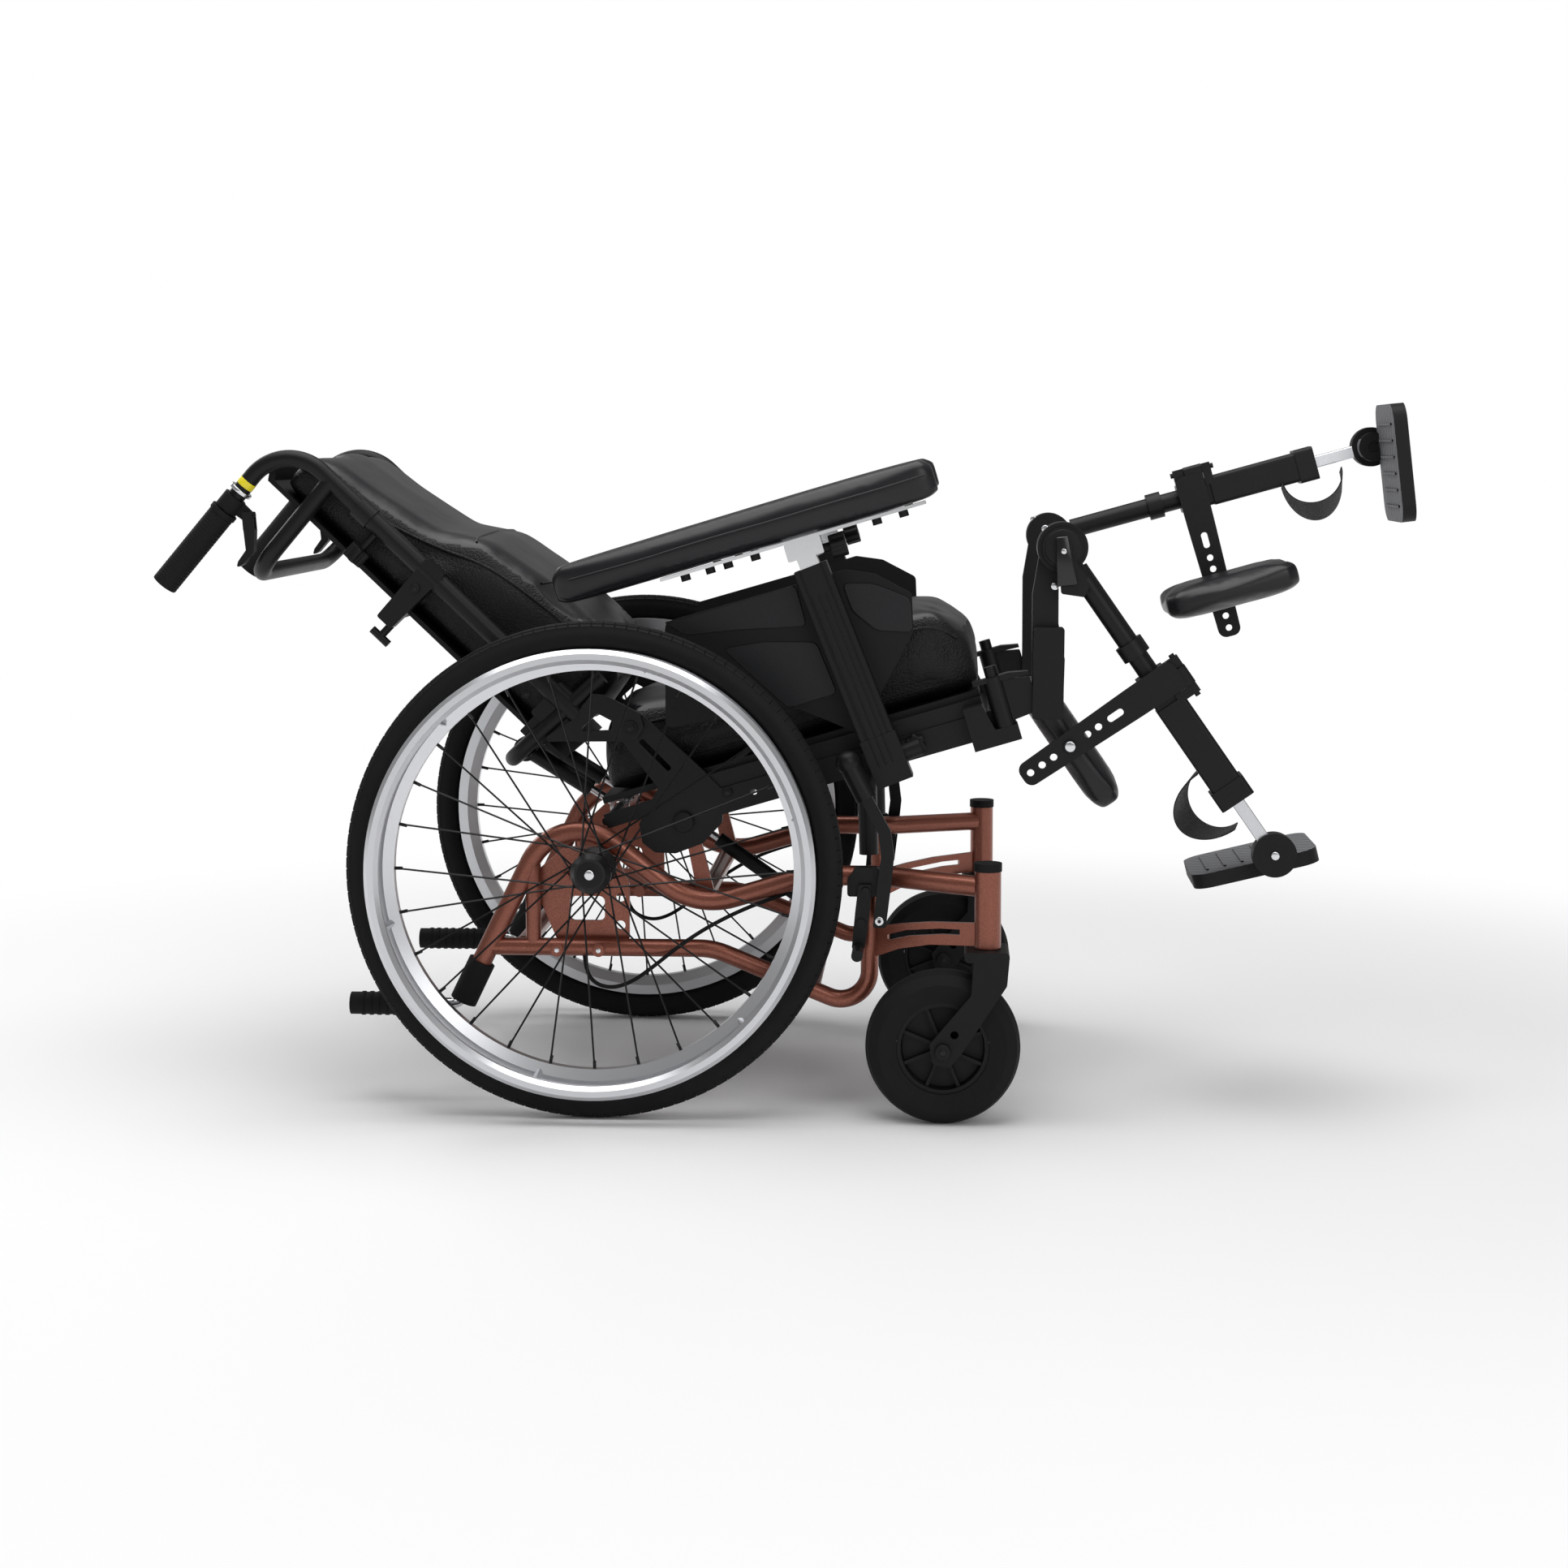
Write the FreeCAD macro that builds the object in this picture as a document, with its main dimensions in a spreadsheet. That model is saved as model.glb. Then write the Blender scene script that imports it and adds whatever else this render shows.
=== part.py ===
import FreeCAD, Part
import math
import os
import re
import Sketcher

# Tilt-in-space wheelchair, millimetres, +X forward, +Y to the left side, +Z up.
# Heights count from the floor. Lengths along X count from the rear axle, and the
# placement of every sub-part then moves the origin to the middle of the footprint.

V = FreeCAD.Vector
doc = FreeCAD.newDocument("Wheelchair")
sheet = doc.addObject("Spreadsheet::Sheet", "Sizes")
SIDES = (("right", -1), ("left", 1))

# Driving sizes
SIZES = {
    "middle_to_axle": -241.3,
    "wheel_radius": 305,
    "tyre_width": 34,
    "half_track": 295,
    "rim_radius": 271,
    "rim_depth": 26,
    "rim_width": 24,
    "hub_radius": 25,
    "hub_length": 66,
    "axle_radius": 8,
    "spoke_count": 28,
    "spoke_thick": 2.4,
    "handrim_radius": 265,
    "handrim_tube": 19,
    "handrim_offset": 45,
    "caster_radius": 94,
    "caster_width": 46,
    "caster_rim_radius": 56,
    "caster_trail": 54,
    "head_x": 480,
    "head_radius": 16,
    "head_bottom": 215,
    "head_top": 308,
    "stem_radius": 11,
    "fork_blade": 6,
    "half_frame": 225,
    "upper_tube": 25,
    "lower_tube": 22,
    "axle_plate_thick": 6,
    "plate_hole": 12,
    "plate_hole_spacing": 35,
    "pivot_x": 102,
    "pivot_z": 353,
    "pivot_radius": 9,
    "seat_angle": 16.5,
    "pan_top": 44,
    "seat_plate_y": 204,
    "seat_plate_thick": 8,
    "rail_height": 32,
    "rail_hole": 8,
    "recline_x": 36,
    "recline_z": 471,
    "back_angle": 43.5,
    "cane_tube": 25,
    "cane_depth": 36,
    "cane_length": 432,
    "shell_back": 95,
    "shell_thick": 6,
    "cushion_half": 188,
    "handle_tube": 22,
    "grip_radius": 16.5,
    "grip_length": 122,
    "bow_tube": 22,
    "arm_lean": 21.7,
    "arm_post_width": 42,
    "arm_post_depth": 34,
    "arm_bore": 25,
    "arm_pad_y": 248,
    "arm_pad_width": 48,
    "arm_pad_length": 492,
    "arm_pad_height": 52,
    "panel_thick": 3,
    "panel_y": 211.5,
    "knee_x": 570,
    "knee_z": 698,
    "knee_radius": 31,
    "leg_y": 225,
    "leg_tube": 26,
    "sleeve_width": 40,
    "leg_length": 458,
    "bar_width": 16,
    "foot_length": 158,
    "foot_width": 150,
    "foot_thick": 18,
    "calf_reach": 188,
    "calf_along": 205,
    "calf_hole": 9,
    "calf_pad_length": 185,
    "calf_pad_width": 140,
    "calf_pad_thick": 42,
    "fit": 0.3,
}
for row, (alias, value) in enumerate(SIZES.items(), start=1):
    sheet.set("A%d" % row, alias)
    sheet.set("B%d" % row, str(value))
    sheet.setAlias("B%d" % row, alias)
doc.recompute()


def size(alias):
    return float(getattr(sheet, alias))


def bound(text):
    return re.sub(r"[a-z_]{3,}", lambda m: "Sizes." + m.group(0) if m.group(0) in SIZES else m.group(0),
                  text)


def worth(text):
    return float(sheet.evalExpression(bound(text)))


def polar(origin, angle, along, across=0.0):
    # a point in the side view: along a line that rises at angle, and square to it
    a = math.radians(angle)
    x = origin[0] + along * math.cos(a) - across * math.sin(a)
    z = origin[1] + along * math.sin(a) + across * math.cos(a)
    return (x, z)


def put(shape_or_object, label, x=0.0, y=0.0, z=0.0):
    # gives a sub-part its name and its place in the shared frame
    thing = shape_or_object
    if isinstance(thing, Part.Shape):
        thing = doc.addObject("Part::Feature", label)
        thing.Shape = shape_or_object
    thing.Label = label
    move = FreeCAD.Placement(V(x + size("middle_to_axle"), y, z), FreeCAD.Rotation())
    thing.Placement = move.multiply(thing.Placement)
    NODES.append(thing)
    return thing


NODES = []


# Shapes that several sub-parts share

def rod(start, end, radius):
    a = V(*start)
    b = V(*end)
    return Part.makeCylinder(radius, (b - a).Length, a, b - a)


def bent_tube(points, radii, radius):
    # straight runs joined by tangent arcs, swept by a round section
    pts = [V(*p) for p in points]
    edges = []
    last = pts[0]
    for i, bend in enumerate(radii):
        corner = pts[i + 1]
        back = (pts[i] - corner).normalize()
        ahead = (pts[i + 2] - corner).normalize()
        half = math.acos(max(-1.0, min(1.0, back.dot(ahead)))) / 2
        cut = bend / math.tan(half)
        middle = corner + (back + ahead).normalize() * (bend / math.sin(half))
        first = corner + back * cut
        second = corner + ahead * cut
        crest = middle + (corner - middle).normalize() * bend
        edges.append(Part.LineSegment(last, first).toShape())
        edges.append(Part.Arc(first, crest, second).toShape())
        last = second
    edges.append(Part.LineSegment(last, pts[-1]).toShape())
    spine = Part.Wire(edges)
    section = Part.Wire([Part.makeCircle(radius, pts[0], pts[1] - pts[0])])
    shell = Part.BRepOffsetAPI.MakePipeShell(spine)
    shell.setTransitionMode(0)
    shell.add(section)
    shell.build()
    shell.makeSolid()
    return shell.shape()


def slab(outline, y_from, y_to, rounding=0.0, holes=()):
    # a flat plate cut from side-view points, with rounded corners and round holes
    wire = Part.makePolygon([V(x, y_from, z) for x, z in outline] + [V(outline[0][0], y_from,
                                                                       outline[0][1])])
    solid = Part.Face(wire).extrude(V(0, y_to - y_from, 0))
    if rounding > 0:
        edges = [e for e in solid.Edges if abs(e.tangentAt(e.FirstParameter).y) > 0.99]
        solid = solid.makeFillet(rounding, edges)
    for x, z, radius in holes:
        solid = solid.cut(rod((x, min(y_from, y_to) - 1, z), (x, max(y_from, y_to) + 1, z), radius))
    return solid


def bar(start, end, width, y_from, y_to, rounding=0.0, holes=()):
    # a flat bar between two side-view points
    angle = math.degrees(math.atan2(end[1] - start[1], end[0] - start[0]))
    length = math.hypot(end[0] - start[0], end[1] - start[1])
    h = width / 2
    outline = [polar(start, angle, a, b) for a, b in ((0, -h), (length, -h), (length, h), (0, h))]
    return slab(outline, y_from, y_to, rounding, holes)


def disc(x, z, radius, y_from, y_to):
    return rod((x, y_from, z), (x, y_to, z), radius)


def fused(shapes):
    whole = shapes[0]
    for shape in shapes[1:]:
        whole = whole.fuse(shape)
    return whole.removeSplitter()


def turned(label, points, x, y, z, mirrored=False):
    # a body of revolution about its axle, from radius and axial distance
    body = doc.addObject("PartDesign::Body", label)
    sketch = closed_sketch(body, "XY_Plane", points, mirrored)
    doc.recompute()
    spin = body.newObject("PartDesign::Revolution", label + "_spin")
    spin.Profile = sketch
    spin.ReferenceAxis = (sketch, ["V_Axis"])
    spin.Angle = 360
    doc.recompute()
    return put(body, label, x, y, z)


def closed_sketch(body, plane, points, mirrored=False):
    sketch = body.newObject("Sketcher::SketchObject", body.Name + "_outline")
    home = [f for f in body.Origin.OriginFeatures if f.Role == plane][0]
    sketch.AttachmentSupport = [(home, "")]
    sketch.MapMode = "FlatFace"
    rows = [(a, "-(%s)" % b if mirrored else b) for a, b in points]
    spots = [V(worth(a), worth(b), 0) for a, b in rows]
    count = len(spots)
    for i in range(count):
        sketch.addGeometry(Part.LineSegment(spots[i], spots[(i + 1) % count]), False)
    for i in range(count):
        sketch.addConstraint(Sketcher.Constraint("Coincident", i, 2, (i + 1) % count, 1))
    for i, (a, b) in enumerate(rows):
        for kind, text, now in (("DistanceX", a, spots[i].x), ("DistanceY", b, spots[i].y)):
            index = sketch.addConstraint(Sketcher.Constraint(kind, -1, 1, i, 1, now))
            sketch.setExpression("Constraints[%d]" % index, bound(text))
    return sketch


# Rear wheels: tyre, rim, hub with spokes, handrim

def rear_wheel(side, s):
    z = size("wheel_radius")
    y = s * size("half_track")
    turned("rear_tyre_" + side, [
        ("rim_radius + fit", "-tyre_width / 2 + 3"),
        ("wheel_radius - 12", "-tyre_width / 2"),
        ("wheel_radius - 3", "-tyre_width / 4"),
        ("wheel_radius", "0"),
        ("wheel_radius - 3", "tyre_width / 4"),
        ("wheel_radius - 12", "tyre_width / 2"),
        ("rim_radius + fit", "tyre_width / 2 - 3"),
    ], 0, y, z)
    turned("rear_rim_" + side, [
        ("rim_radius - rim_depth", "-rim_width / 4"),
        ("rim_radius - rim_depth / 2", "-rim_width / 2"),
        ("rim_radius", "-rim_width / 2"),
        ("rim_radius - 5", "0"),
        ("rim_radius", "rim_width / 2"),
        ("rim_radius - rim_depth / 2", "rim_width / 2"),
        ("rim_radius - rim_depth", "rim_width / 4"),
    ], 0, y, z)
    put(spokes_and_hub(s), "rear_spokes_" + side, 0, y, z)
    put(handrim(s), "handrim_" + side, 0, y, z)


def hub_profile():
    r = size("hub_radius")
    bore = size("axle_radius") + size("fit")
    h = size("hub_length") / 2
    cap = 5
    return [(bore, -h), (r - 7, -h), (r, -h + 6), (r, -h + 12), (r - 8, -h + 20), (r - 8, h - 20),
            (r, h - 12), (r, h - 4), (r - 6, h + cap), (0, h + cap), (0, h - 2), (bore, h - 2)]


def spokes_and_hub(s):
    # the spokes leave the hub at a tangent, alternately forwards and backwards
    outline = [V(r, s * a, 0) for r, a in hub_profile()]
    wire = Part.makePolygon(outline + [outline[0]])
    hub = Part.Face(wire).revolve(V(0, 0, 0), V(0, 1, 0), 360)
    count = int(size("spoke_count"))
    thick = size("spoke_thick")
    inner = size("hub_radius") - 4
    outer = size("rim_radius") - size("rim_depth") - size("fit")
    flange = size("hub_length") / 2 - 8
    spokes = []
    for i in range(count):
        turn = 2 * math.pi * i / count
        lead = math.radians(62) if (i // 2) % 2 else -math.radians(62)
        offset = flange if i % 2 else -flange
        start = V(inner * math.cos(turn + lead), offset, inner * math.sin(turn + lead))
        end = V(outer * math.cos(turn), 0, outer * math.sin(turn))
        spokes.append(square_rod(start, end, thick))
    return fused([hub] + spokes)


def square_rod(start, end, thick):
    direction = end - start
    across = direction.cross(V(0, 1, 0)).normalize() * (thick / 2)
    upright = direction.cross(across).normalize() * (thick / 2)
    corners = [start + across, start + upright, start - across, start - upright]
    return Part.Face(Part.makePolygon(corners + [corners[0]])).extrude(direction)


def handrim(s):
    # an eight-sided ring with six stand-off tabs that reach in to the rim
    radius = size("handrim_tube") / 2
    ring = size("handrim_radius")
    out = s * size("handrim_offset")
    points = [V(ring + radius * math.cos(math.pi * k / 4 + 0.39),
                out + radius * math.sin(math.pi * k / 4 + 0.39), 0)
              for k in range(8)]
    solid = Part.Face(Part.makePolygon(points + [points[0]])).revolve(V(0, 0, 0), V(0, 1, 0), 360)
    tab_in = size("rim_radius") - size("rim_depth") / 2 - 3
    tabs = []
    for k in range(6):
        turn = math.radians(60 * k + 15)
        near = V(tab_in * math.cos(turn), s * (size("rim_width") / 2 + 1.5), tab_in * math.sin(turn))
        far = V(ring * math.cos(turn), out, ring * math.sin(turn))
        tabs.append(square_rod(near, far, 9))
    return fused([solid] + tabs)


# Casters: fork, tyre and ribbed hub

def caster(side, s):
    x = size("head_x") - size("caster_trail")
    z = size("caster_radius")
    y = s * size("half_track")
    put(caster_fork(s), "caster_fork_" + side)
    turned("caster_tyre_" + side, [
        ("caster_rim_radius + fit", "-caster_width / 2 + 4"),
        ("caster_radius - 16", "-caster_width / 2"),
        ("caster_radius - 4", "-caster_width / 3"),
        ("caster_radius", "-caster_width / 8"),
        ("caster_radius", "caster_width / 8"),
        ("caster_radius - 4", "caster_width / 3"),
        ("caster_radius - 16", "caster_width / 2"),
        ("caster_rim_radius + fit", "caster_width / 2 - 4"),
    ], x, y, z)
    put(caster_rim(), "caster_rim_" + side, x, y, z)


def caster_rim():
    r = size("caster_rim_radius")
    w = size("caster_width") / 2 - 6
    bore = size("stem_radius") / 2 + size("fit")
    web = 5
    hub = 14
    outline = [(bore, -w), (hub, -w), (hub, -web), (r - 7, -web), (r - 5, -w), (r, -w), (r, w), (r - 5, w),
               (r - 7, web), (hub, web), (hub, w), (bore, w)]
    pts = [V(a, b, 0) for a, b in outline]
    ring = Part.Face(Part.makePolygon(pts + [pts[0]])).revolve(V(0, 0, 0), V(0, 1, 0), 360)
    ribs = []
    for k in range(8):
        rib = Part.makeBox(r - 6 - hub + 2, 2 * w - 6, 4, V(hub - 1, -w + 3, -2))
        rib.rotate(V(0, 0, 0), V(0, 1, 0), 45 * k + 22.5)
        ribs.append(rib)
    return fused([ring] + ribs)


def caster_fork(s):
    # crown, two tapered blades and the axle bolt, on a stem that turns in the head tube
    y = s * size("half_track")
    head = size("head_x")
    axle = (head - size("caster_trail"), size("caster_radius"))
    gap = size("caster_width") / 2 + 5
    blade = size("fork_blade")
    top = size("head_bottom") - 1
    stem = rod((head, y, top - 6), (head, y, size("head_top") - 4), size("stem_radius"))
    crown = slab([(head - 28, top - 12), (head + 26, top - 12), (head + 26, top), (head - 28, top)],
                 y - gap - blade, y + gap + blade, 5)
    parts = [crown, stem]
    for t in (-1, 1):
        inner = y + t * gap
        outline = [(head - 17, top - 6), (head + 26, top - 6), (head + 23, top - 40),
                   (axle[0] + 22, axle[1] - 4),
                   (axle[0] + 8, axle[1] - 20), (axle[0] - 12, axle[1] - 16), (axle[0] - 16, axle[1] + 8),
                   (head - 20, top - 52)]
        hole = (axle[0] + 14, axle[1] + 20, 5)
        parts.append(slab(outline, inner, inner + t * blade, 4, [hole]))
    bolt = rod((axle[0], y - gap - blade - 4, axle[1]), (axle[0], y + gap + blade + 4, axle[1]),
               size("stem_radius") / 2)
    parts.append(bolt)
    for t in (-1, 1):
        spacer = size("caster_width") / 2 - 6 + size("fit")
        parts.append(rod((axle[0], y + t * spacer, axle[1]), (axle[0], y + t * (gap + 1), axle[1]), 9))
    return fused(parts)


# Side frames: upper tube, lower tube, strut, head tube, arched gusset

def upper_path(s):
    y = s * size("half_frame")
    reach = s * (size("half_track") - 6)
    points = [(-165, y, 148), (-51, y, 381), (119, y, 247), (262, y, 290), (352, y, 290),
              (size("head_x") - 10, reach, 288)]
    return bent_tube(points, [70, 95, 120, 60], size("upper_tube") / 2)


def lower_path(s):
    y = s * size("half_frame")
    points = [(-140, y, 197), (140, y, 197), (335, y, 118), (335, y, 288)]
    return bent_tube(points, [90, 36], size("lower_tube") / 2)


def side_frame(s):
    y = s * size("half_frame")
    head = size("head_x")
    hy = s * size("half_track")
    parts = [upper_path(s), lower_path(s)]
    parts.append(rod((-85, y, 200), (-85, y, 300), 9.5))
    for x in (-54, -2):
        parts.append(rod((x, s * (size("half_frame") - 14), 195), (x, s * (size("half_frame") + 14), 195),
                         8))
    tube = rod((head, hy, size("head_bottom")), (head, hy, size("head_top")), size("head_radius"))
    parts.append(tube)
    parts.append(arched_gusset(s))
    frame = fused(parts)
    bore = rod((head, hy, size("head_bottom") - 1), (head, hy, size("head_top") + 1),
               size("stem_radius") + size("fit"))
    return frame.cut(bore)


def arched_gusset(s):
    # a pressed plate with an arched slot, from the front upright to the head tube
    y = s * size("half_frame")
    hy = s * size("half_track")
    head = size("head_x")
    span = math.hypot(head - 335, hy - y)
    outline = [(4, 188), (42, 203), (85, 212), (span - 10, 216), (span - 10, 244), (85, 240), (42, 234),
               (4, 226)]
    slot = [(26, 212), (55, 220), (100, 226), (125, 227), (125, 234), (98, 233), (52, 227), (26, 219)]
    plate = slab(outline, -3, 3).cut(slab(slot, -4, 4))
    plate.rotate(V(0, 0, 0), V(0, 0, 1), math.degrees(math.atan2(hy - y, head - 335)))
    plate.translate(V(335, y, 0))
    return plate


def cross_tubes():
    # transverse tubes, the brackets of the seat pivot, and the lug of the tilt strut
    w = size("half_frame") - size("upper_tube") / 2 + 2
    px = size("pivot_x")
    pz = size("pivot_z")
    parts = [rod((x, -w, z), (x, w, z), 11) for x, z in ((128, 258), (-100, 197), (262, 148))]
    pin_half = size("seat_plate_y") + size("seat_plate_thick")
    pin = rod((px, -pin_half, pz), (px, pin_half, pz), size("pivot_radius"))
    bracket_y = size("seat_plate_y") - 16
    parts.append(pin)
    for t in (-1, 1):
        foot = [(px - 1, pz - 10), (118, 258), (140, 258), (px + 13, pz + 2)]
        parts.append(slab(foot, t * bracket_y - 4, t * bracket_y + 4))
        parts.append(disc(px, pz, 14, t * bracket_y - 4, t * bracket_y + 4))
        lug = [(254, 148), (272, 148), (260, 224), (240, 224)]
        parts.append(slab(lug, t * 16 - 2.5, t * 16 + 2.5, 0))
    parts.append(disc(TILT_FOOT[0], TILT_FOOT[1], 5, -18, 18))
    return fused(parts)


TILT_FOOT = (250, 215)
TILT_EYE = (88, 330)


def axle_plates():
    # one flat plate with its window, its two spare holes and the wheel axle on each side
    plates = []
    for _, s in SIDES:
        outer = s * (size("half_frame") - size("upper_tube") / 2 - size("fit"))
        inner = outer - s * size("axle_plate_thick")
        outline = [(-57, 203), (34, 203), (34, 275), (22, 300), (22, 321), (-48, 321), (-62, 308),
                   (-91, 283)]
        hole = size("plate_hole") / 2
        mid = 240
        gap = size("plate_hole_spacing") / 2
        plate = slab(outline, min(inner, outer), max(inner, outer), 5,
                     [(23, mid + gap, hole), (23, mid - gap, hole)])
        window = slab([(-41, 228), (3, 228), (3, 259), (-41, 259)], inner - 9, outer + 9, 7)
        axle_z = size("wheel_radius")
        tip = s * (size("half_track") + size("hub_length") / 2 - 3)
        axle = rod((0, inner, axle_z), (0, tip, axle_z), size("axle_radius"))
        shoulder = rod((0, inner, axle_z), (0, s * (size("half_track") - size("hub_length") / 2 - 1),
                                            axle_z), 13)
        bolt = rod((-46, inner - s * 4, 283), (-46, outer + s * 10, 283), 6)
        plates.append(fused([plate.cut(window), axle, shoulder, bolt]))
    return Part.makeCompound(plates)


# Rear tipping levers, rubber parts and brake cables

def tipping_levers():
    levers = []
    for _, s in SIDES:
        y = s * size("half_frame")
        levers.append(bent_tube(lever_path(y), [22], 7))
    return Part.makeCompound(levers)


def lever_path(y):
    # out of the frame tube's open end and level to the rear
    return [(-165.2, y, 147.6), (-177, y, 124), (-240, y, 124)]


def rubber_parts():
    # ribbed tread grips, sockets at the tube ends and caps on the head tubes
    parts = []
    for _, s in SIDES:
        y = s * size("half_frame")
        hy = s * size("half_track")
        grip = rod((-220, y, 123), (-316, y, 123), 14)
        ribs = [rod((-228 - 10 * k, y, 123), (-232 - 10 * k, y, 123), 15) for k in range(8)]
        hole = rod((-219, y, 124), (-242, y, 124), 7 + size("fit"))
        parts.append(fused([grip] + ribs).cut(hole))
        top = (-150, y, 178)
        end = (-174, y, 128)
        socket = rod(top, end, 17)
        parts.append(socket.cut(tube_clear(y)))
        cap_z = size("head_top") + size("fit")
        cap = rod((size("head_x"), hy, cap_z), (size("head_x"), hy, cap_z + 10), size("head_radius") + 1)
        parts.append(cap)
    return Part.makeCompound(parts)


def tube_clear(y):
    # the space that the frame tube and the lever take inside the rubber socket
    tube = rod((-165, y, 148), (-120, y, 239), size("upper_tube") / 2 + size("fit"))
    lever = bent_tube(lever_path(y), [22], 7 + size("fit"))
    return tube.fuse(lever)


def brake_cables():
    cables = []
    for s in (-1, 1):
        inner = s * size("half_frame")
        outer = s * (size("half_frame") + 19)
        middle = (inner + outer) / 2
        route = [(-21, inner, 185.6), (-18, middle, 168), (-5, outer, 154), (17, outer, 149),
                 (42, outer, 158),
                 (69, outer, 178), (98, outer, 202), (130, outer, 224), (165, outer, 243),
                 (200, middle, 257),
                 (236, inner, 268.6)]
        cables.append(cable(route, 2.5).cut(fused([upper_path(s), lower_path(s)])))
    return Part.makeCompound(cables)


def cable(points, radius):
    bends = []
    for a, b, c in zip(points, points[1:], points[2:]):
        p, q, r = V(*a), V(*b), V(*c)
        turn = (q - p).getAngle(r - q)
        shorter = min((q - p).Length, (r - q).Length)
        bends.append(0.45 * shorter / math.tan(turn / 2))
    print("cable bend radii", [round(b) for b in bends])
    return bent_tube(points, bends, radius)


# Parking brakes: mount on the frame tube, hand lever, roller arm

LEVER_PIN = (348, 241)
ARM_PIN = (331, 276)


def brake_mounts():
    mounts = []
    for _, s in SIDES:
        low = size("half_frame") + size("upper_tube") / 2 + size("fit")
        block = slab([(308, 268), (358, 268), (358, 286), (346, 304), (318, 304), (308, 288)],
                     s * low, s * (low + 14), 4)
        strap = bar((352, 272), LEVER_PIN, 14, s * low, s * (low + 7), 0)
        pin = disc(ARM_PIN[0], ARM_PIN[1], 5, s * (low + 10), s * (low + 24))
        pivot = disc(LEVER_PIN[0], LEVER_PIN[1], 4, s * (low + 3), s * (low + 32))
        mounts.append(fused([block, strap, pin, pivot]))
    return Part.makeCompound(mounts)


def brake_arm(s):
    low = size("half_frame") + size("upper_tube") / 2 + size("fit") + 14.5
    hole = (ARM_PIN[0], ARM_PIN[1], 5 + size("fit"))
    arm = slab([(322, 284), (338, 284), (336, 250), (330, 206), (322, 196), (314, 206), (318, 250)],
               s * low, s * (low + 6), 3, [hole])
    roller = disc(322, 205, 7, s * (low + 5), s * (size("half_track") + 15))
    rivet = disc(325, 236, 6, s * (low + 5), s * (low + 9))
    return fused([arm, roller, rivet])


def brake_lever(s):
    # a flat bar cranked round the seat, with a moulded grip on its upper end
    low = size("half_frame") + size("upper_tube") / 2 + size("fit") + 27
    y0 = s * low
    y1 = s * (low + 6)
    hole = (LEVER_PIN[0], LEVER_PIN[1], 4 + size("fit"))
    outline = [(340, 233), (356, 233), (363, 290), (366, 320), (362, 352), (340, 392), (330, 412),
               (316, 404),
               (328, 384), (347, 348), (350, 320), (346, 290)]
    blade = slab(outline, y0, y1, 3, [hole])
    middle = (y0 + y1) / 2
    grip = rod((332, middle, 392), (310, middle, 434), 13)
    knob = Part.makeSphere(15, V(309, middle, 436))
    return fused([blade, grip, knob])


# Seat frame, seat cushion, side panels and arm posts

def rail_point(along, up=0.0):
    return polar((size("pivot_x") + 38, size("pivot_z") + 23), size("seat_angle"), along, up)


def seat_frame():
    y = size("seat_plate_y")
    t = size("seat_plate_thick")
    h = size("rail_height")
    px, pz = size("pivot_x"), size("pivot_z")
    rx, rz = size("recline_x"), size("recline_z")
    parts = []
    for _, s in SIDES:
        inner = s * (y - t / 2)
        outer = s * (y + t / 2)
        rail = bar(rail_point(-10), rail_point(372), h, inner, outer, 2,
                   [rail_point(52) + (size("rail_hole") / 2,)])
        link = [(rx + 14, rz + 16), (rx - 14, rz + 16), (rx - 22, rz - 4), (70, 395), (46, 350), (50, 326),
                (66, 314), (92, 313), (126, 326), (150, 352), (152, 392), (126, 418)]
        hole = (px, pz, size("pivot_radius") + size("fit"))
        plate = slab(link, inner, outer, 5, [hole])
        slot = bar((48, 455), (85, 418), 7, s * (y - t), s * (y + t), 3)
        pin = disc(rx, rz, 9, s * y, s * (y + t / 2 + 10))
        parts.append(plate.cut(slot))
        parts += [rail, pin]
        drop_y = s * (y - t / 2 - 10)
        parts.append(rod((330, drop_y, 432), (333, drop_y, 312), 12))
    for along in (36, 200, 350):
        x, z = rail_point(along, -4)
        parts.append(rod((x, -y, z), (x, y, z), 9))
    parts.append(rod((TILT_EYE[0], -y, TILT_EYE[1]), (TILT_EYE[0], y, TILT_EYE[1]), 5))
    parts.append(rod((RECLINE_FOOT[0], -y, RECLINE_FOOT[1]), (RECLINE_FOOT[0], y, RECLINE_FOOT[1]), 5))
    top = size("pan_top")
    half = size("cushion_half")
    pan = [rail_point(-136, top - 8), rail_point(356, top - 8), rail_point(356, top), rail_point(-136, top)]
    parts.append(slab(pan, -half, half))
    for _, s in SIDES:
        parts.append(bar(RECLINE_FOOT, (66, 372), 18, s * (y - t / 2), s * (y + t / 2)))
        parts.append(bar(rail_point(-10, top - 18), rail_point(356, top - 18), 20, s * 180, s * y))
    parts += [leg_receiver(s) for _, s in SIDES]
    parts += [arm_socket(s) for _, s in SIDES]
    return fused(parts)


RECLINE_FOOT = (4, 352)
RECLINE_HEAD = (-118, 427)
SWING_FOOT = (503, 478)


def leg_receiver(s):
    # the bracket on the rail's front end and the pin that the hanger swings on
    y = size("seat_plate_y") + size("seat_plate_thick") / 2
    leg = size("leg_y")
    angle = size("seat_angle")
    foot = polar(SWING_FOOT, angle, 0, -8)
    top = polar(SWING_FOOT, angle, 0, 76)
    rest = -size("fit")
    outline = ((-46, -20), (14, -20), (14, rest), (-14.5, rest), (-22, 34), (-46, 34))
    low_block = slab([polar(SWING_FOOT, angle, a, b) for a, b in outline], s * (y - 6), s * (leg + 12))
    pin = rod((foot[0], s * leg, foot[1]), (top[0], s * leg, top[1]), 8)
    return fused([low_block, pin])


def post_foot():
    return (362, 421)


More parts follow.
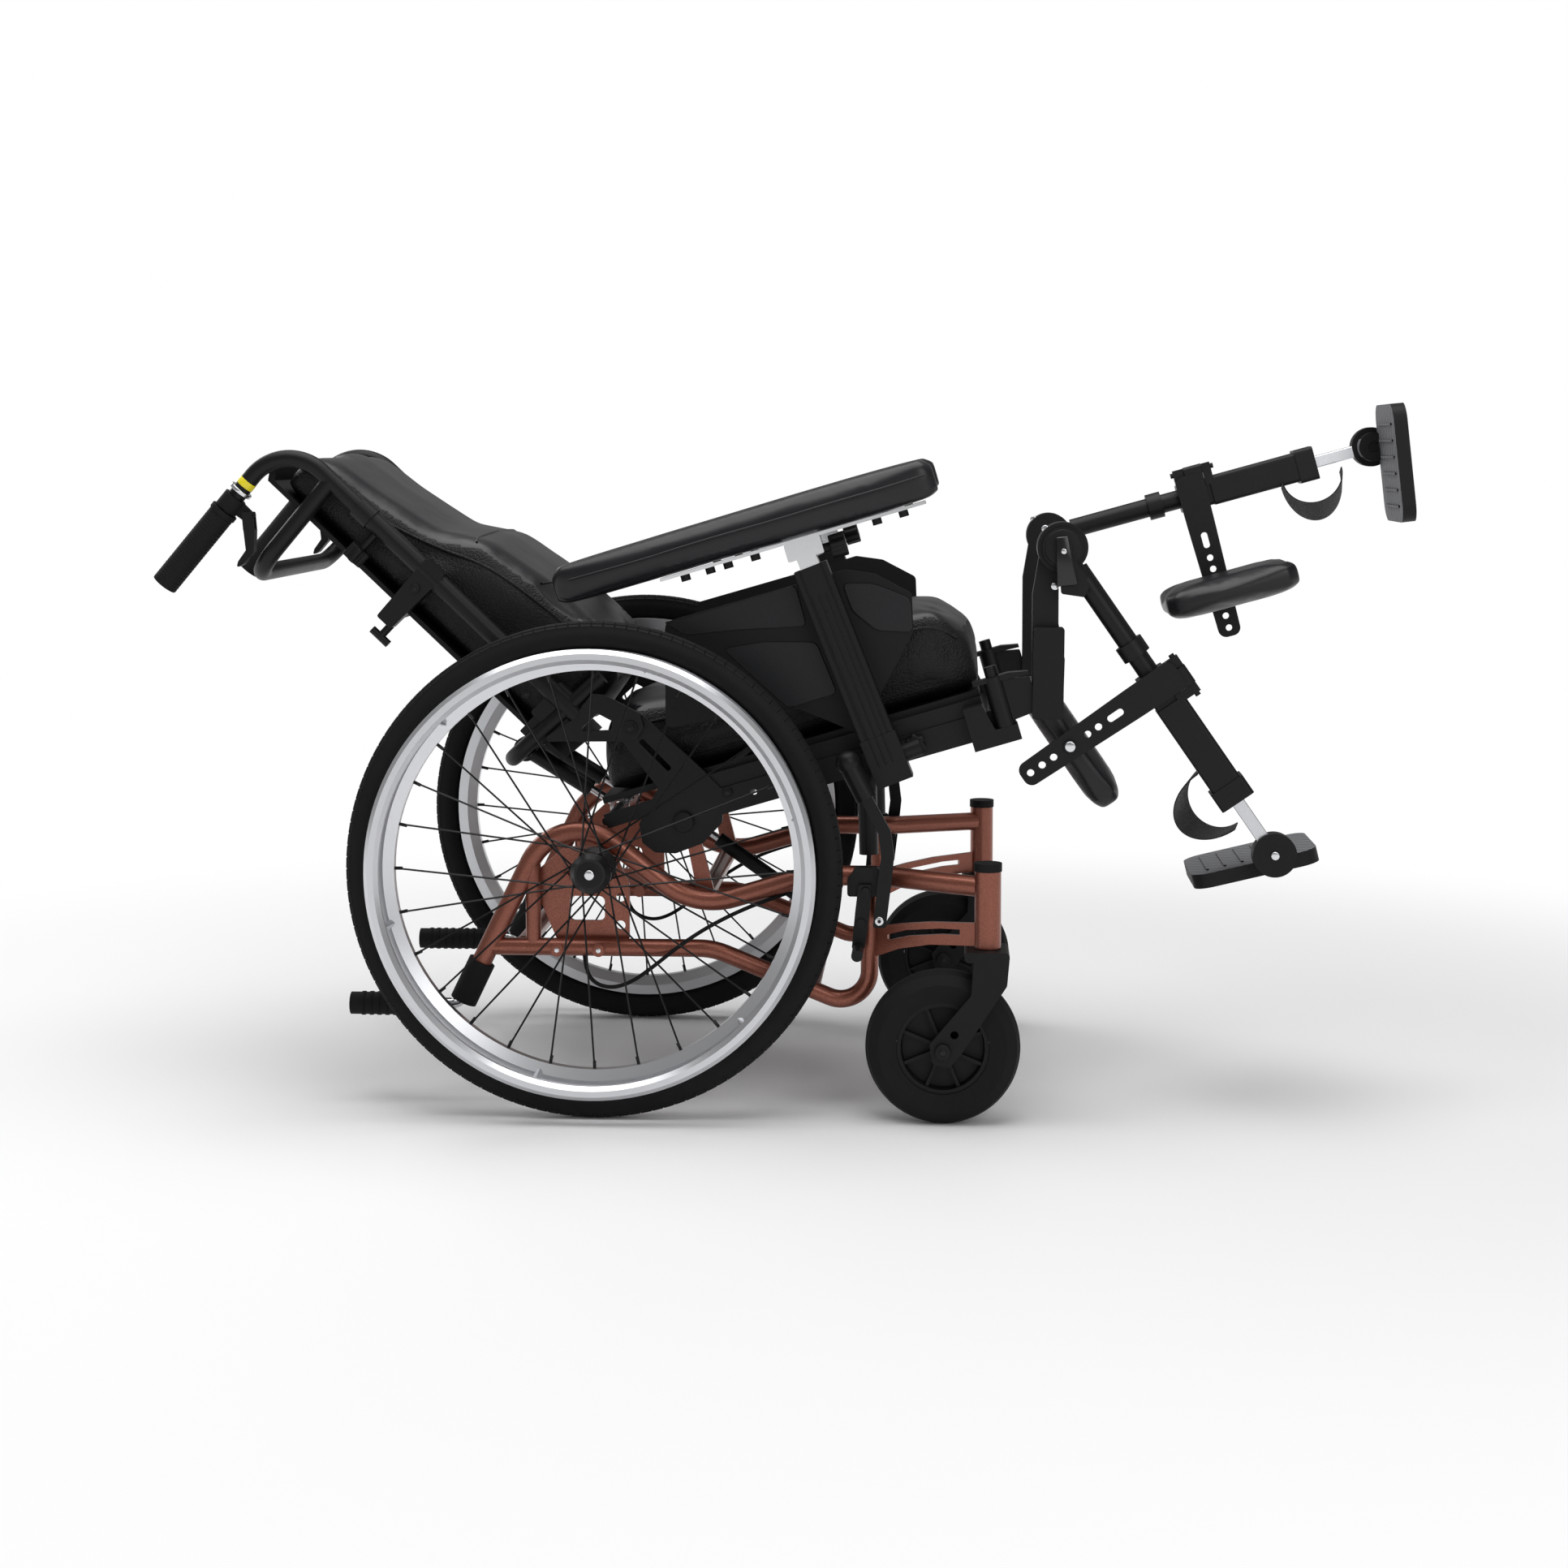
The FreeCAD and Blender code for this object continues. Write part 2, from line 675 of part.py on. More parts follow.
def post_box(s, start, end, width, depth, y_mid):
    # a square bar along the leaning axis of the armrest post
    foot = post_foot()
    lean = 90 + size("arm_lean")
    h = width / 2
    outline = [polar(foot, lean, a, b) for a, b in ((start, -h), (end, -h), (end, h), (start, h))]
    return slab(outline, y_mid - depth / 2, y_mid + depth / 2)


def arm_post_y(s):
    return s * (size("panel_y") + size("panel_thick") / 2 + size("arm_post_depth") / 2 + size("fit"))


def arm_socket(s):
    y = arm_post_y(s)
    width = size("arm_post_width") + 4
    box = post_box(s, -14, 48, width, size("arm_post_depth"), y)
    inner = s * (size("seat_plate_y"))
    arm = slab([(330, 424), (384, 440), (378, 458), (324, 442)], inner, y, 2)
    knob_a = polar(post_foot(), 90 + size("arm_lean"), 16, -width / 2)
    knob_b = polar(post_foot(), 90 + size("arm_lean"), 16, -width / 2 - 22)
    knob = rod((knob_a[0], y, knob_a[1]), (knob_b[0], y, knob_b[1]), 11)
    return fused([box, arm, knob])


def arm_posts():
    # the upright box profile with its grooves and the square bore of the sliding post
    posts = []
    for _, s in SIDES:
        y = arm_post_y(s)
        w = size("arm_post_width")
        d = size("arm_post_depth")
        box = post_box(s, 48.3, 272, w, d, y)
        bore = post_box(s, 110, 300, size("arm_bore"), size("arm_bore"), y)
        grooves = []
        for off in (-14, 14):
            foot = post_foot()
            lean = 90 + size("arm_lean")
            outline = [polar(foot, lean, a, off + b) for a, b in ((0, -1.5), (300, -1.5), (300, 1.5),
                                                                  (0, 1.5))]
            grooves.append(slab(outline, y + s * d / 2 - 2, y + s * d / 2 + 2))
        posts.append(fused([box]).cut(fused([bore])).cut(grooves[0]).cut(grooves[1]))
    return Part.makeCompound(posts)


def arm_slider(s):
    # the bright square post, its head and the bracket strip under the pad
    y = arm_post_y(s)
    side = size("arm_bore") - 2 * size("fit")
    post = post_box(s, 130, 292, side, side, y)
    foot = polar(post_foot(), 90 + size("arm_lean"), 292, 0)
    head = slab([polar(foot, 16.5, a, b) for a, b in ((-22, -8), (24, -8), (24, 14), (-22, 14))], y - 15,
                y + 15, 2)
    strip = slab([polar(foot, 16.5, a, b) for a, b in ((-180, 14), (160, 14), (160, 18), (-180, 18))],
                 y - 15, y + 15)
    knob_at = polar(foot, 16.5, 30, -4)
    stem = rod((foot[0] + 10, y, foot[1]), (knob_at[0] + 14, y, knob_at[1] + 4), 6)
    knob = rod((knob_at[0] + 4, y, knob_at[1] + 1), (knob_at[0] + 18, y, knob_at[1] + 5), 12)
    studs = []
    for along in (-150, -118, -95, -60, 96, 130):
        a = polar(foot, 16.5, along, 16)
        b = polar(foot, 16.5, along, 6)
        studs.append(rod((a[0], y, a[1]), (b[0], y, b[1]), 6))
    return fused([post, head, strip, stem, knob] + studs)


def pad_frame():
    foot = polar(post_foot(), 90 + size("arm_lean"), 292, 0)
    return polar(foot, 16.5, 0, 18 + size("fit"))


def arm_pad(s):
    # a long padded cushion with drawn-in sides, on a thin base
    base = pad_frame()
    y = s * size("arm_pad_y")
    half = size("arm_pad_width") / 2
    rear = -size("arm_pad_length") * 0.63
    front = size("arm_pad_length") * 0.37
    tall = size("arm_pad_height")
    wires = []
    for along, narrow, low, high in ((rear, 10, 6, tall - 12), (rear + 14, 2, 0, tall), (0, 0, 0, tall + 1),
                                     (front - 14, 2, 0, tall), (front, 10, 6, tall - 10)):
        h = half - narrow
        section = [(-h + 6, low), (h - 6, low), (h, low + 9), (h - 3, low + 14), (h, low + 20),
                   (h, high - 10),
                   (h - 8, high), (-h + 8, high), (-h, high - 10), (-h, low + 20), (-h + 3, low + 14),
                   (-h, low + 9)]
        points = []
        for across, up in section:
            x, z = polar(base, 16.5, along, up)
            points.append(V(x, y + across, z))
        wires.append(Part.makePolygon(points + [points[0]]))
    return Part.makeLoft(wires, True, True)


def side_panels():
    panels = []
    for _, s in SIDES:
        inner = s * (size("panel_y") - size("panel_thick") / 2)
        outer = s * (size("panel_y") + size("panel_thick") / 2)
        outline = [(80, 470), (80, 602), (245, 651), (303, 669), (340, 664), (386, 640), (388, 592),
                   (340, 500),
                   (330, 462), (236, 500), (150, 484)]
        panel = slab(outline, inner, outer, 8)
        rib_out = outer + s * 1.5
        rib = slab([(84, 596), (245, 644), (245, 651), (80, 603)], inner, rib_out)
        panels.append(fused([panel, rib]))
    return Part.makeCompound(panels)


def seat_cushion():
    # a contoured cushion: crowned across, higher at the front, with an upright rear face
    half = size("cushion_half")
    plumb = math.tan(math.radians(size("seat_angle")))
    stations = [(-136, 12, 96, plumb), (-118, 0, 108, plumb), (10, -3, 98, 0), (160, -3, 104, 0),
                (280, 0, 122, 0), (334, 0, 118, 0), (366, 12, 72, 0)]
    wires = []
    for along, pull, tall, shear in stations:
        h = half - max(pull, 0)
        section = [(-h + 8, 0), (h - 8, 0), (h, 18), (h - 4, tall * 0.5), (h, tall - 24), (h - 16, tall - 6),
                   (0, tall + pull), (-h + 16, tall - 6), (-h, tall - 24), (-h + 4, tall * 0.5), (-h, 18)]
        points = []
        for across, up in section:
            x, z = rail_point(along + shear * up, size("pan_top") + up)
            points.append(V(x, across, z))
        wires.append(Part.makePolygon(points + [points[0]]))
    return Part.makeLoft(wires, True, True)


# Backrest: canes with hinge plates, shell, cushion, sliding push handles

def back_point(along, front):
    return polar((size("recline_x"), size("recline_z")), 180 - size("back_angle"), along, -front)


def at(point, y):
    return (point[0], y, point[1])


def back_frame():
    y = size("seat_plate_y") + 1
    depth = -size("cane_depth")
    length = size("cane_length")
    r = size("cane_tube") / 2
    handle = size("handle_tube") / 2
    parts = []
    bores = []
    for _, s in SIDES:
        parts.append(rod(at(back_point(58, depth), s * y), at(back_point(length, depth), s * y), r))
        parts.append(rod(at(back_point(length - 18, depth), s * y),
                         at(back_point(length + 6, depth), s * y), r + 2.5))
        block = slab([back_point(a, b) for a, b in ((298, -22), (330, -22), (326, -118), (302, -118))],
                     s * (y - 13), s * (y + 12), 3)
        parts.append(block)
        boss = [back_point(a, b) for a, b in ((60, -20), (104, -20), (104, -74), (60, -74))]
        parts.append(slab(boss, s * (y - 12), s * (y + 4), 4))
        star = rod(at(back_point(398, -40), s * y), at(back_point(398, -78), s * y), 5)
        head = rod(at(back_point(398, -72), s * y), at(back_point(398, -90), s * y), 13)
        tee = rod(at(back_point(306, -116), s * y), at(back_point(306, -136), s * y), 5)
        wing = rod(at(back_point(292, -136), s * y), at(back_point(320, -136), s * y), 5)
        parts += [star, head, tee, wing, hinge_plate(s)]
        bores.append(rod(at(back_point(250, depth), s * y), at(back_point(length + 9, depth), s * y),
                         handle + size("fit")))
    rest = -size("shell_back") - size("fit")
    parts.append(rod(at(back_point(314, rest - 9), -y), at(back_point(314, rest - 9), y), 9))
    for _, s in SIDES:
        cheek = [back_point(a, b) for a, b in ((66, -60), (98, -60), (98, rest - 6), (66, rest - 6))]
        tongue = [back_point(a, b) for a, b in ((66, rest), (98, rest), (98, rest - 6), (66, rest - 6))]
        parts.append(slab(cheek, s * (y - 12), s * (y - 4), 2))
        parts.append(slab(tongue, s * 148, s * (y - 6), 0))
    head = RECLINE_HEAD
    u_tube = bent_tube([(0, -y, 534), (head[0], -y, head[1]), (head[0], y, head[1]), (0, y, 534)],
                       [40, 40], 10)
    parts.append(u_tube)
    return fused(parts).cut(fused(bores))


def hinge_plate(s):
    # the pressed triangle that joins cane, lower tube and hinge screw
    inner = s * (size("seat_plate_y") + size("seat_plate_thick") / 2 + 1.5)
    outer = inner + s * 6
    rx, rz = size("recline_x"), size("recline_z")
    outline = [(-79, 453), (-36, 481), (-12, 514), (4, 512), (rx + 12, rz + 18), (rx + 17, rz),
               (rx + 8, rz - 15),
               (rx - 6, rz - 17)]
    plate = slab(outline, inner, outer, 4, [(rx, rz, 9 + size("fit"))])
    cutout = slab([(-30, 466), (-5, 489), (14, 479), (12, 468)], inner - 9, outer + 9, 3)
    return plate.cut(cutout)


def back_shell():
    rear = -size("shell_back")
    half = size("cushion_half") - 4
    t = size("shell_thick")
    outline = [back_point(a, b) for a, b in ((34, rear), (546, rear), (558, rear + 18), (552, rear + 18 + t),
                                             (540, rear + t), (34, rear + t))]
    return slab(outline, -half, half)


def back_cushion():
    # deep at the lumbar, thin at the head, with drawn-in sides and a soft crown
    rear = -size("shell_back") + size("shell_thick") + size("fit")
    half = size("cushion_half")
    stations = [(42, 44, 12, 20), (58, 54, 0, 16), (140, 57, 0, 0), (215, 53, 0, 0), (294, 40, 0, 0),
                (350, 4, 0, 0), (440, -13, 0, 0), (500, -20, 0, 0), (530, -30, 0, 0), (536, -44, 12, 0)]
    wires = []
    for along, front, pull, lean in stations:
        h = half - pull
        middle = (rear + front) / 2
        section = [(-h + 10, rear), (h - 10, rear), (h, rear + 14), (h - 4, middle), (h, front - 18),
                   (h - 14, front - 3), (0, front + 3), (-h + 14, front - 3), (-h, front - 18),
                   (-h + 4, middle),
                   (-h, rear + 14)]
        points = []
        for across, depth in section:
            shift = lean * (depth - rear) / (front - rear)
            x, z = back_point(along + shift, depth)
            points.append(V(x, across, z))
        wires.append(Part.makePolygon(points + [points[0]]))
    return Part.makeLoft(wires, True, True)


HANDLE_BEND = 564
HANDLE_FALL = 230


def handle_point(fall):
    # a point on the grip axis, counted from the corner over the cane
    corner = back_point(HANDLE_BEND, -size("cane_depth"))
    return polar(corner, HANDLE_FALL, fall)


def push_frame():
    # both handle tubes, joined by the push bow, slide in the canes as one piece
    y = size("seat_plate_y") + 1
    depth = -size("cane_depth")
    parts = []
    for _, s in SIDES:
        path = [at(back_point(290, depth), s * y), at(back_point(HANDLE_BEND, depth), s * y),
                at(handle_point(236), s * y)]
        parts.append(bent_tube(path, [60], size("handle_tube") / 2))
    top = back_point(484, depth)
    low = polar(top, HANDLE_FALL, 152)
    bow = bent_tube([at(top, -y), at(low, -y), at(low, y), at(top, y)], [45, 45], size("bow_tube") / 2)
    parts.append(bow)
    return fused(parts)


def push_grips():
    grips = []
    y = size("seat_plate_y") + 1
    start = 242 - size("grip_length")
    r = size("grip_radius")
    for _, s in SIDES:
        a = at(handle_point(start), s * y)
        b = at(handle_point(242), s * y)
        grip = rod(a, b, r)
        flare = rod(at(handle_point(start), s * y), at(handle_point(start + 6), s * y), r + 1.5)
        bore = rod(at(handle_point(start - 1), s * y), at(handle_point(237), s * y),
                   size("handle_tube") / 2 + 0.1)
        clamp_a = at(handle_point(start - 22), s * y)
        clamp_b = at(handle_point(start - 2), s * y)
        clamp = rod(clamp_a, clamp_b, 15)
        ear = slab([handle_clamp_point(0, 10), handle_clamp_point(18, 10), handle_clamp_point(16, 34),
                    handle_clamp_point(2, 34)], s * y - 4, s * y + 4)
        hole = disc(*lever_axis(), 3 + size("fit"), s * y - 9, s * y + 9)
        through = rod(at(handle_point(start - 30), s * y), at(handle_point(start), s * y),
                      size("handle_tube") / 2 + 0.1)
        grips.append(fused([grip, flare]).cut(bore))
        grips.append(clamp.fuse(ear).cut(through).cut(hole))
    return Part.makeCompound(grips)


def handle_clamp_point(along, out):
    # beside the grip, on the side that faces the bow
    start = handle_point(242 - size("grip_length") - 22)
    return polar(start, HANDLE_FALL, along, out)


def lever_axis():
    # the pin that the hand lever turns on, under the handle clamp
    return handle_clamp_point(9, 28)


def hand_lever(s):
    # a forked lever that hangs on a pin through the clamp's ear
    y = s * (size("seat_plate_y") + 1)
    a, b = lever_axis()
    parts = [rod((a, y - 8, b), (a, y + 8, b), 3)]
    for t in (-1, 1):
        parts.append(slab([(a - 7, b + 6), (a + 7, b + 6), (a + 9, b - 18), (a - 5, b - 18)],
                          y + t * 4.3, y + t * 8, 2))
    parts.append(slab([(a - 5, b - 15), (a + 9, b - 15), (a + 8, b - 44), (a - 6, b - 60), (a - 14, b - 64),
                       (a - 12, b - 56), (a - 2, b - 42)], y - 8, y + 8, 1.5))
    return fused(parts)


# Struts: a cylinder on one pin and a rod that slides in it

def strut_cylinder(start, end, y, length, radius, bore, pin):
    angle = math.degrees(math.atan2(end[1] - start[1], end[0] - start[0]))
    a = polar(start, angle, 8)
    b = polar(start, angle, length)
    eye = disc(start[0], start[1], pin + 6, y - 9, y + 9)
    tube = rod(at(a, y), at(b, y), radius)
    inside = polar(start, angle, pin + 12)
    mouth = polar(start, angle, length + 1)
    hollow = rod(at(inside, y), at(mouth, y), bore)
    width = radius + 2
    return fused([eye, tube]).cut(hollow).cut(disc(start[0], start[1], pin + size("fit"), y - width,
                                                   y + width))


def strut_rod(start, end, y, begin, radius, pin, play):
    angle = math.degrees(math.atan2(end[1] - start[1], end[0] - start[0]))
    reach = math.hypot(end[0] - start[0], end[1] - start[1])
    a = polar(start, angle, begin)
    b = polar(start, angle, reach - pin - play)
    eye = disc(end[0], end[1], pin + play + 5, y - 7, y + 7)
    return fused([rod(at(a, y), at(b, y), radius), eye]).cut(disc(end[0], end[1], pin + play, y - 9, y + 9))


# Legrests: hanger, leg tube, sliding bar, footplate, calf bracket, calf pad, heel strap

LEG_ANGLE = {"right": -55.3, "left": 15.5}
FOOT_TURN = {"right": 69, "left": 81}


def leg_point(side, along, calf=0.0):
    return polar((size("knee_x"), size("knee_z")), LEG_ANGLE[side], along, -calf)


def hanger(side, s):
    x, z = size("knee_x"), size("knee_z")
    y = size("leg_y")
    r = size("knee_radius")
    inner = y - 18
    box = slab([(x - 36, 487), (x + 2, 487), (x + 4, 560), (x - 4, 604), (x - 4, 650), (x + 14, z - 24),
                (x - 28, z - 10), (x - 36, 640)], s * inner, s * (y - 0.5), 4)
    wide = slab([(x - 36, 487), (x + 2, 487), (x + 3, 600), (x - 34, 600)], s * (y - 2), s * (y + 15), 4)
    knee = disc(x, z, r, s * inner, s * (y - 0.5))
    pin = disc(x, z, 7, s * (y - 1), s * (y + 22))
    cover = disc(x, z, r - 6, s * (y + 20), s * (y + 27))
    paddle = slab([(x - 7, z), (x + 10, z - 6), (x + 32, z - 46), (x + 26, z - 60), (x - 2, z - 56)],
                  s * (y + 21), s * (y + 31), 3)
    angle = size("seat_angle")
    sleeve_a = polar(SWING_FOOT, angle, 0, 0)
    sleeve_b = polar(SWING_FOOT, angle, 0, 62)
    sleeve = rod(at(sleeve_a, s * y), at(sleeve_b, s * y), 13)
    web = slab([polar(SWING_FOOT, angle, 4, 4), polar(SWING_FOOT, angle, 44, 8),
                polar(SWING_FOOT, angle, 44, 50),
                polar(SWING_FOOT, angle, 4, 58)], s * (y - 8), s * (y + 8), 2)
    lever = slab([polar(SWING_FOOT, angle, -26, 63), polar(SWING_FOOT, angle, 20, 63),
                  polar(SWING_FOOT, angle, 44, 58), polar(SWING_FOOT, angle, 44, 54),
                  polar(SWING_FOOT, angle, -26, 58)], s * (y - 10), s * (y + 10))
    bore = rod(at(polar(SWING_FOOT, angle, 0, -12), s * y), at(polar(SWING_FOOT, angle, 0, 80), s * y),
               8 + size("fit"))
    return fused([box, wide, knee, pin, cover, paddle, sleeve, web, lever]).cut(bore)


def leg_tube(side, s):
    x, z = size("knee_x"), size("knee_z")
    y = s * size("leg_y")
    r = size("knee_radius")
    w = size("sleeve_width") / 2
    near = size("leg_y")
    hub = disc(x, z, r, s * (near + size("fit")), s * (near + 19))
    hub = hub.cut(disc(x, z, 7 + size("fit"), s * (near - 2), s * (near + 25)))
    start = leg_point(side, r - 4)
    tube = rod(at(start, s * (near + 10.5)), at(leg_point(side, 60), y), size("leg_tube") / 2 - 4)
    main = rod(at(leg_point(side, r + 2), y), at(leg_point(side, 240), y), size("leg_tube") / 2)
    collar = rod(at(leg_point(side, 142), y), at(leg_point(side, 162), y), size("leg_tube") / 2 + 5)
    plate = square_sleeve(side, y, 232, 376, w, w)
    lip = square_sleeve(side, y, 352, 378, w + 3, w + 2)
    clamp = square_sleeve(side, y, 186, 238, w - 1, w - 4)
    ear = slab([leg_point(side, a, b) for a, b in ((186, -40), (200, -40), (200, -10), (186, -10))],
               y - 20, y - 8)
    ear2 = slab([leg_point(side, a, b) for a, b in ((226, -40), (238, -40), (238, -10), (226, -10))],
                y - 20, y - 8)
    pin = rod(at(leg_point(side, 182, -34), y - 16), at(leg_point(side, 242, -34), y - 16), 3.5)
    whole = fused([hub, tube, main, collar, plate, lip, clamp, ear, ear2, pin])
    half = size("bar_width") / 2 + size("fit")
    return whole.cut(square_sleeve(side, y, 262, 380, half, half, 0))


def square_sleeve(side, y, start, end, w_half, y_half, rounding=5):
    corners = [V(leg_point(side, start, w)[0], y + t, leg_point(side, start, w)[1])
               for w, t in ((-w_half, -y_half), (w_half, -y_half), (w_half, y_half), (-w_half, y_half))]
    a, b = leg_point(side, start), leg_point(side, end)
    direction = V(b[0] - a[0], 0, b[1] - a[1])
    box = Part.Face(Part.makePolygon(corners + [corners[0]])).extrude(direction)
    if rounding:
        edges = [e for e in box.Edges if abs(e.tangentAt(e.FirstParameter).dot(V(direction).normalize())) > 0.99]
        box = box.makeFillet(rounding, edges)
    return box


def foot_bar(side, s):
    y = s * size("leg_y")
    half = size("bar_width") / 2
    length = size("leg_length")
    bar_solid = square_sleeve(side, y, 300, length - 16, half, half, 1.5)
    x, z = leg_point(side, length)
    knuckle = disc(x, z, 27, y - s * 8, y + s * 14)
    pin = disc(x, z, 7, y - s * 26, y)
    return fused([bar_solid, knuckle, pin])


def footplate(side, s):
    # a moulded plate with rounded ends and raised tread ribs, on a split hub
    length = size("foot_length")
    width = size("foot_width")
    t = size("foot_thick")
    base = Part.makeBox(length, width, t, V(-length + 56, 0, -26))
    upright = [e for e in base.Edges if abs(e.tangentAt(e.FirstParameter).z) > 0.99]
    base = base.makeFillet(24, upright)
    ribs = []
    for k in range(6):
        across = -length + 76 + k * 22
        ribs.append(Part.makeBox(3, width - 44, 2, V(across, 22, -26 + t)))
    hub = Part.makeCylinder(20, 20, V(0, width - 12, 0), V(0, 1, 0))
    hub = hub.cut(Part.makeCylinder(7 + size("fit"), 60, V(0, width - 30, 0), V(0, 1, 0)))
    cheek = Part.makeBox(36, 19, 18, V(-18, width - 12, -24))
    cheek = cheek.cut(Part.makeCylinder(12, 60, V(0, width - 30, 0), V(0, 1, 0)))
    clear = Part.makeCylinder(7 + size("fit"), 60, V(0, width - 30, 0), V(0, 1, 0))
    plate = fused([base, hub, cheek] + ribs).cut(clear)
    if s < 0:
        plate = plate.mirror(V(0, 0, 0), V(0, 1, 0))
    plate.rotate(V(0, 0, 0), V(0, 1, 0), -(LEG_ANGLE[side] + FOOT_TURN[side]))
    x, z = leg_point(side, size("leg_length"))
    hub_inner = size("leg_y") - 8 - size("fit")
    plate.translate(V(x, s * (hub_inner - width - 8), z))
    return plate


def calf_bracket(side, s):
    # a drilled strap that swings on a pin beside the leg tube
    y = s * size("leg_y") - 23
    a = size("calf_along")
    reach = size("calf_reach")
    outline = [leg_point(side, a - 20, -30), leg_point(side, a + 20, -30), leg_point(side, a + 19, 40),
               leg_point(side, a + 15, reach + 12), leg_point(side, a - 15, reach + 12),
               leg_point(side, a - 19, 40)]
    holes = [leg_point(side, a, w) + (size("calf_hole") / 2,) for w in (reach, 88, 104, 154, 171)]
    plate = slab(outline, y - 2.5, y + 2.5, 11, holes)
    slot = bar(leg_point(side, a, 52), leg_point(side, a, 74), 9, y - 4, y + 4, 4)
    knuckle = rod(at(leg_point(side, 200.5, -34), y + 7), at(leg_point(side, 225.5, -34), y + 7), 7)
    arm = slab([leg_point(side, t, w) for t, w in ((201, -38), (225, -38), (225, -20), (201, -20))],
               y - 1, y + 2.5)
    bore = rod(at(leg_point(side, 190, -34), y + 7), at(leg_point(side, 236, -34), y + 7), 3.5 + size("fit"))
    x, z = leg_point(side, a, 130)
    bolt = disc(x, z, 7, y, s * (PAD_EDGE + size("fit")))
    head = disc(x, z, 8, y - 6, y)
    return fused([plate.cut(slot), knuckle, arm, bolt, head]).cut(bore)


PAD_EDGE = 196


def calf_pad(side, s):
    # a padded board: bevelled faces and drawn-in edges
    near = s * PAD_EDGE
    a = size("calf_along") + 7
    long_half = size("calf_pad_length") / 2
    wide = size("calf_pad_width")
    top = 130 - size("calf_pad_thick") / 2
    wires = []
    for depth, inset in ((0, 10), (7, 1), (14, 0), (30, 0), (36, 2), (size("calf_pad_thick"), 12)):
        l = long_half - inset
        low, high = inset, wide - inset
        c = 14
        section = [(-l + c, low), (l - c, low), (l, low + c), (l, high - c), (l - c, high), (-l + c, high),
                   (-l, high - c), (-l, low + c)]
        points = []
        for along, across in section:
            x, z = leg_point(side, a + along, top + depth)
            points.append(V(x, near - s * across, z))
        wires.append(Part.makePolygon(points + [points[0]]))
    return Part.makeLoft(wires, True, True)


def heel_strap(side, s):
    # a webbing band behind the heel, from the sleeve to the footplate
    y = s * (size("leg_y") - 22)
    end = size("leg_length") - 52
    path = [(326, 21.6), (338, 40), (end - 50, 66), (end - 30, 78), (end - 8, 62), (end, 36)]
    outer = band_edge(path, 1.2)
    inner = band_edge(path, -1.2)
    loop = [leg_point(side, a, b) for a, b in outer + inner[::-1]]
    return slab(loop, y - 18, y + 18)


def band_edge(path, offset):
    # the points of a path moved square to it
    edge = []
    for i, (a, b) in enumerate(path):
        before = path[max(i - 1, 0)]
        after = path[min(i + 1, len(path) - 1)]
        run = math.hypot(after[0] - before[0], after[1] - before[1])
        edge.append((a - offset * (after[1] - before[1]) / run, b + offset * (after[0] - before[0]) / run))
    return edge


# Every sub-part, with its name

def build():
    frames = {}
    for side, s in SIDES:
        rear_wheel(side, s)
        caster(side, s)
        frames[side] = side_frame(s)
        put(frames[side], "side_frame_" + side)
        put(brake_arm(s), "brake_arm_" + side)
        put(brake_lever(s), "brake_lever_" + side)
        put(arm_slider(s), "arm_slider_" + side)
        put(arm_pad(s), "arm_pad_" + side)
        put(hand_lever(s), "hand_lever_" + side)
        put(hanger(side, s), "hanger_" + side)
        put(leg_tube(side, s), "leg_tube_" + side)
        put(foot_bar(side, s), "foot_bar_" + side)
        put(footplate(side, s), "footplate_" + side)
        put(calf_bracket(side, s), "calf_bracket_" + side)
        put(calf_pad(side, s), "calf_pad_" + side)
        put(heel_strap(side, s), "heel_strap_" + side)
    put(cross_tubes().cut(frames["right"]).cut(frames["left"]), "cross_tubes")
    put(axle_plates(), "axle_plates")
    put(tipping_levers(), "tipping_levers")
    put(rubber_parts().cut(frames["right"]).cut(frames["left"]), "rubber_parts")
    put(brake_mounts().cut(frames["right"]).cut(frames["left"]), "brake_mounts")
    put(brake_cables(), "brake_cables")
    put(seat_frame(), "seat_frame")
    put(arm_posts(), "arm_posts")
    put(side_panels(), "side_panels")
    put(seat_cushion(), "seat_cushion")
    put(back_frame(), "back_frame")
    put(back_shell(), "back_shell")
    put(back_cushion(), "back_cushion")
    put(push_frame(), "push_frame")
    put(push_grips(), "push_grips")
    tilt_pin = 5
    put(strut_cylinder(TILT_FOOT, TILT_EYE, 0, 150, 9.5, 4.3, tilt_pin), "tilt_cylinder")
    put(strut_rod(TILT_FOOT, TILT_EYE, 0, 100, 4, 5, 1.5), "tilt_rod")
    pair_c = [strut_cylinder(RECLINE_HEAD, RECLINE_FOOT, y, 100, 11, 5.3, 10) for y in (-60, 60)]
    pair_r = [strut_rod(RECLINE_HEAD, RECLINE_FOOT, y, 36, 5, 5, 2.3) for y in (-60, 60)]
    put(Part.makeCompound(pair_c), "recline_cylinders")
    put(Part.makeCompound(pair_r), "recline_rods")


def check_and_write():
    doc.recompute()
    for thing in doc.Objects:
        if "Invalid" in thing.State or "Error" in thing.State:
            raise RuntimeError("failed object: " + thing.Label)
    os.makedirs("parts", exist_ok=True)
    for node in NODES:
        shape = node.Shape
        if shape.isNull() or not shape.isValid():
            raise RuntimeError("bad shape: " + node.Label)
        shape.exportStep("parts/%s.step" % node.Label)
        print("%-22s solids %d  volume %.0f  faces %d" % (node.Label, len(shape.Solids), shape.Volume,
                                                          len(shape.Faces)))


build()
check_and_write()
